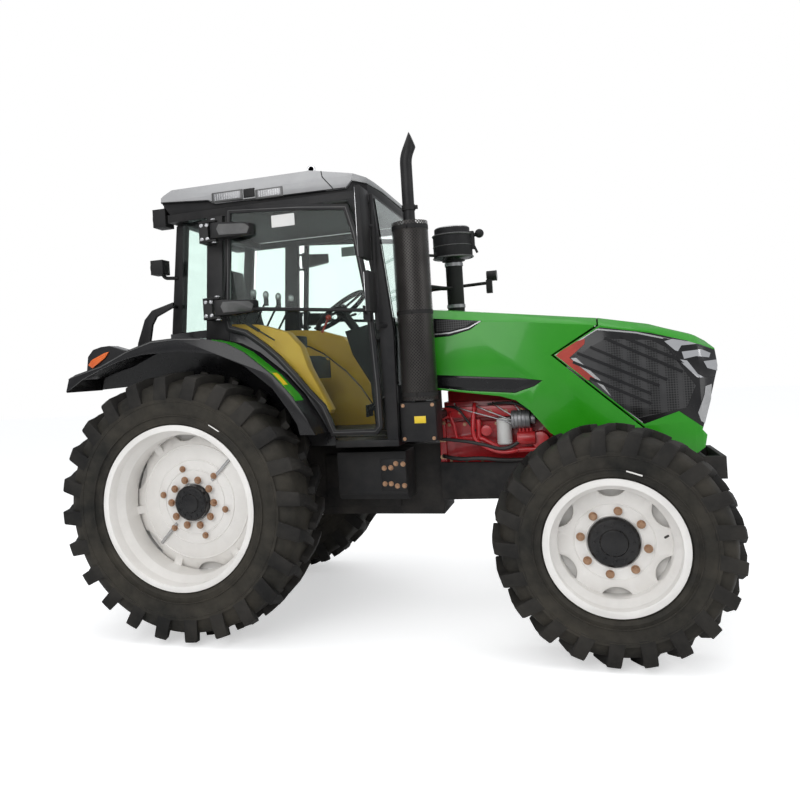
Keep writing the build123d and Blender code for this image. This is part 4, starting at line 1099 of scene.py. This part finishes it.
# %% Wheel, levers and dials
tilt = Vector((-math.sin(math.radians(35)), 0, math.cos(math.radians(35))))
wheel = at(800, 0, 2030)
boss = [soften(bar(wheel + tilt * 0.018, wheel + tilt * 0.030, 0.040, 32, 0.034), 0.003),
        ring(wheel, 0.200, 0.0172, tilt, 64)]
assemble(boss, "wheel_grip", MOULDED)
stalk = [bar(at(835, way * 35, 1985), at(850, way * 190, 2010), 0.007, 12, 0.010) for way in (1, -1)]
assemble(stalk, "column_stalks", MOULDED)
knobs = [ball(at(320 + 88 * index, -430, 2162 - 20 * index), 0.021, (1, 1, 1.3)) for index in range(4)]
assemble(knobs, "lever_knobs", TRIM)
red_lever = [bar(at(761, -350, 1866), at(806, -350, 1950), 0.008, 16), ball(at(812, -350, 1964), 0.020)]
assemble(red_lever, "red_lever", REFLECTOR)
face = [bar(at(1066, y, 1902), at(1062, y, 1910), 0.042, 32) for y in (-130, 0, 130)]
assemble(face, "dials", GLOSS_BLACK)
rims = [ring(at(1064, y, 1908), 0.043, 0.003, (-0.5, 0, 0.9)) for y in (-130, 0, 130)]
assemble(rims, "dial_rims", TRIM)
pedals = [soften(block(at(1010, y - 32, 1290), at(1024, y + 32, 1370)), 0.004) for y in (-250, -165, 175)]
pedals += [bar(at(1024, y, 1330), at(1200, y, 1470), 0.009, 12) for y in (-250, -165, 175)]
assemble(pedals, "pedals", CAST)
mat = soften(block(at(500, -480, 1181), at(1180, 480, 1187)), 0.002)
finish(mat, "floor_mat", HOSE, "chassis")
print("cab inside done")

# %% [markdown]
# ## Hitch
# At the rear is a row of hydraulic couplers on a rail.

# %% Hitch trim
couplers = []
for y in (-210, -150, 150, 210):
    couplers += [bar(at(-330, y, 1060), at(-384, y, 1060), 0.020, 24),
                 bar(at(-384, y, 1060), at(-398, y, 1060), 0.024, 24)]
rail = soften(block(at(-332, -245, 1030), at(-318, 245, 1090)), 0.004)
assemble(couplers, "couplers", STEEL)
finish(rail, "coupler_rail", CAST, "chassis")
print("hitch trim done")

# %% [markdown]
# ## Studio
# A pale floor keeps the shadow, and large soft lamps light the tractor from above, from the
# near side and from behind. The background is white for the camera and for rays through glass.

# %% Floor
bpy.ops.object.select_all(action="DESELECT")
bpy.ops.mesh.primitive_plane_add(size=60, location=(0, 0, -0.001))
floor = bpy.context.object
floor.name = "studio_floor"
settle(floor)
floor_paint, floor_tree, floor_shader = new_paint("pale studio floor")
for entry, value in (("Base Color", (0.84, 0.84, 0.84, 1)), ("Roughness", 0.9), ("Specular IOR Level", 0.1)):
    floor_shader.inputs[entry].default_value = value
rays = put(floor_tree, "ShaderNodeLightPath")
strength = put(floor_tree, "ShaderNodeMath", {0: (rays, "Is Camera Ray"), 1: 0.5}, operation="MULTIPLY")
lift = put(floor_tree, "ShaderNodeEmission", {"Strength": (strength, 0)})
both = put(floor_tree, "ShaderNodeAddShader", {0: (floor_shader, 0), 1: (lift, 0)})
link(floor_tree, both, 0, floor_tree.nodes["Material Output"], "Surface")
floor.data.materials.append(floor_paint)

# %% World and lamps
world = bpy.data.worlds.new("studio")
bpy.context.scene.world = world
world.use_nodes = True
tree = world.node_tree
base = tree.nodes["Background"]
base.inputs["Color"].default_value = (0.95, 0.97, 1.0, 1)
base.inputs["Strength"].default_value = 0.60
white = put(tree, "ShaderNodeBackground", {"Color": (1, 1, 1, 1)})
rays = put(tree, "ShaderNodeLightPath")
straight = put(tree, "ShaderNodeMath", {0: (rays, "Is Camera Ray"), 1: (rays, "Is Transmission Ray")},
               operation="MAXIMUM")
mix = put(tree, "ShaderNodeMixShader", {0: (straight, 0), 1: (base, 0), 2: (white, 0)})
link(tree, mix, 0, tree.nodes["World Output"], "Surface")


def soft_lamp(name, place, target, size, power, color=(1, 1, 1)):
    light = bpy.data.lights.new(name, "AREA")
    light.shape = "RECTANGLE"
    light.size, light.size_y = size
    light.energy = power
    light.color = color
    lamp = bpy.data.objects.new(name, light)
    lamp.location = place
    aim = Vector(target) - Vector(place)
    lamp.rotation_euler = aim.to_track_quat("-Z", "Y").to_euler()
    bpy.context.scene.collection.objects.link(lamp)


soft_lamp("overhead", (0.5, -1.0, 7.0), (0, 0, 1), (8, 6), 170)
soft_lamp("near side", (-1.0, -8.0, 4.5), (0, 0, 1.2), (6, 4), 230)
soft_lamp("front", (8.0, -2.5, 3.5), (0.5, 0, 1.2), (4, 4), 110)
soft_lamp("far side", (-2.0, 7.0, 4.0), (0, 0, 1.5), (6, 4), 70)

# %% Camera
camera_data = bpy.data.cameras.new("view")
camera_data.lens = 35.62
camera_data.sensor_width = 36
camera_data.shift_x = 0.1105
camera_data.shift_y = -0.0502
camera = bpy.data.objects.new("view", camera_data)
bpy.context.scene.collection.objects.link(camera)
turn = Matrix(((0.94548, 0.06049, 0.32003), (0.32036, 0.00442, -0.94729), (-0.05871, 0.99816, -0.01520)))
camera.matrix_world = Matrix.Translation(at(2366.8, -5353, 1610.7)) @ turn.to_4x4()
bpy.context.scene.camera = camera
bpy.context.scene.view_settings.view_transform = "Standard"
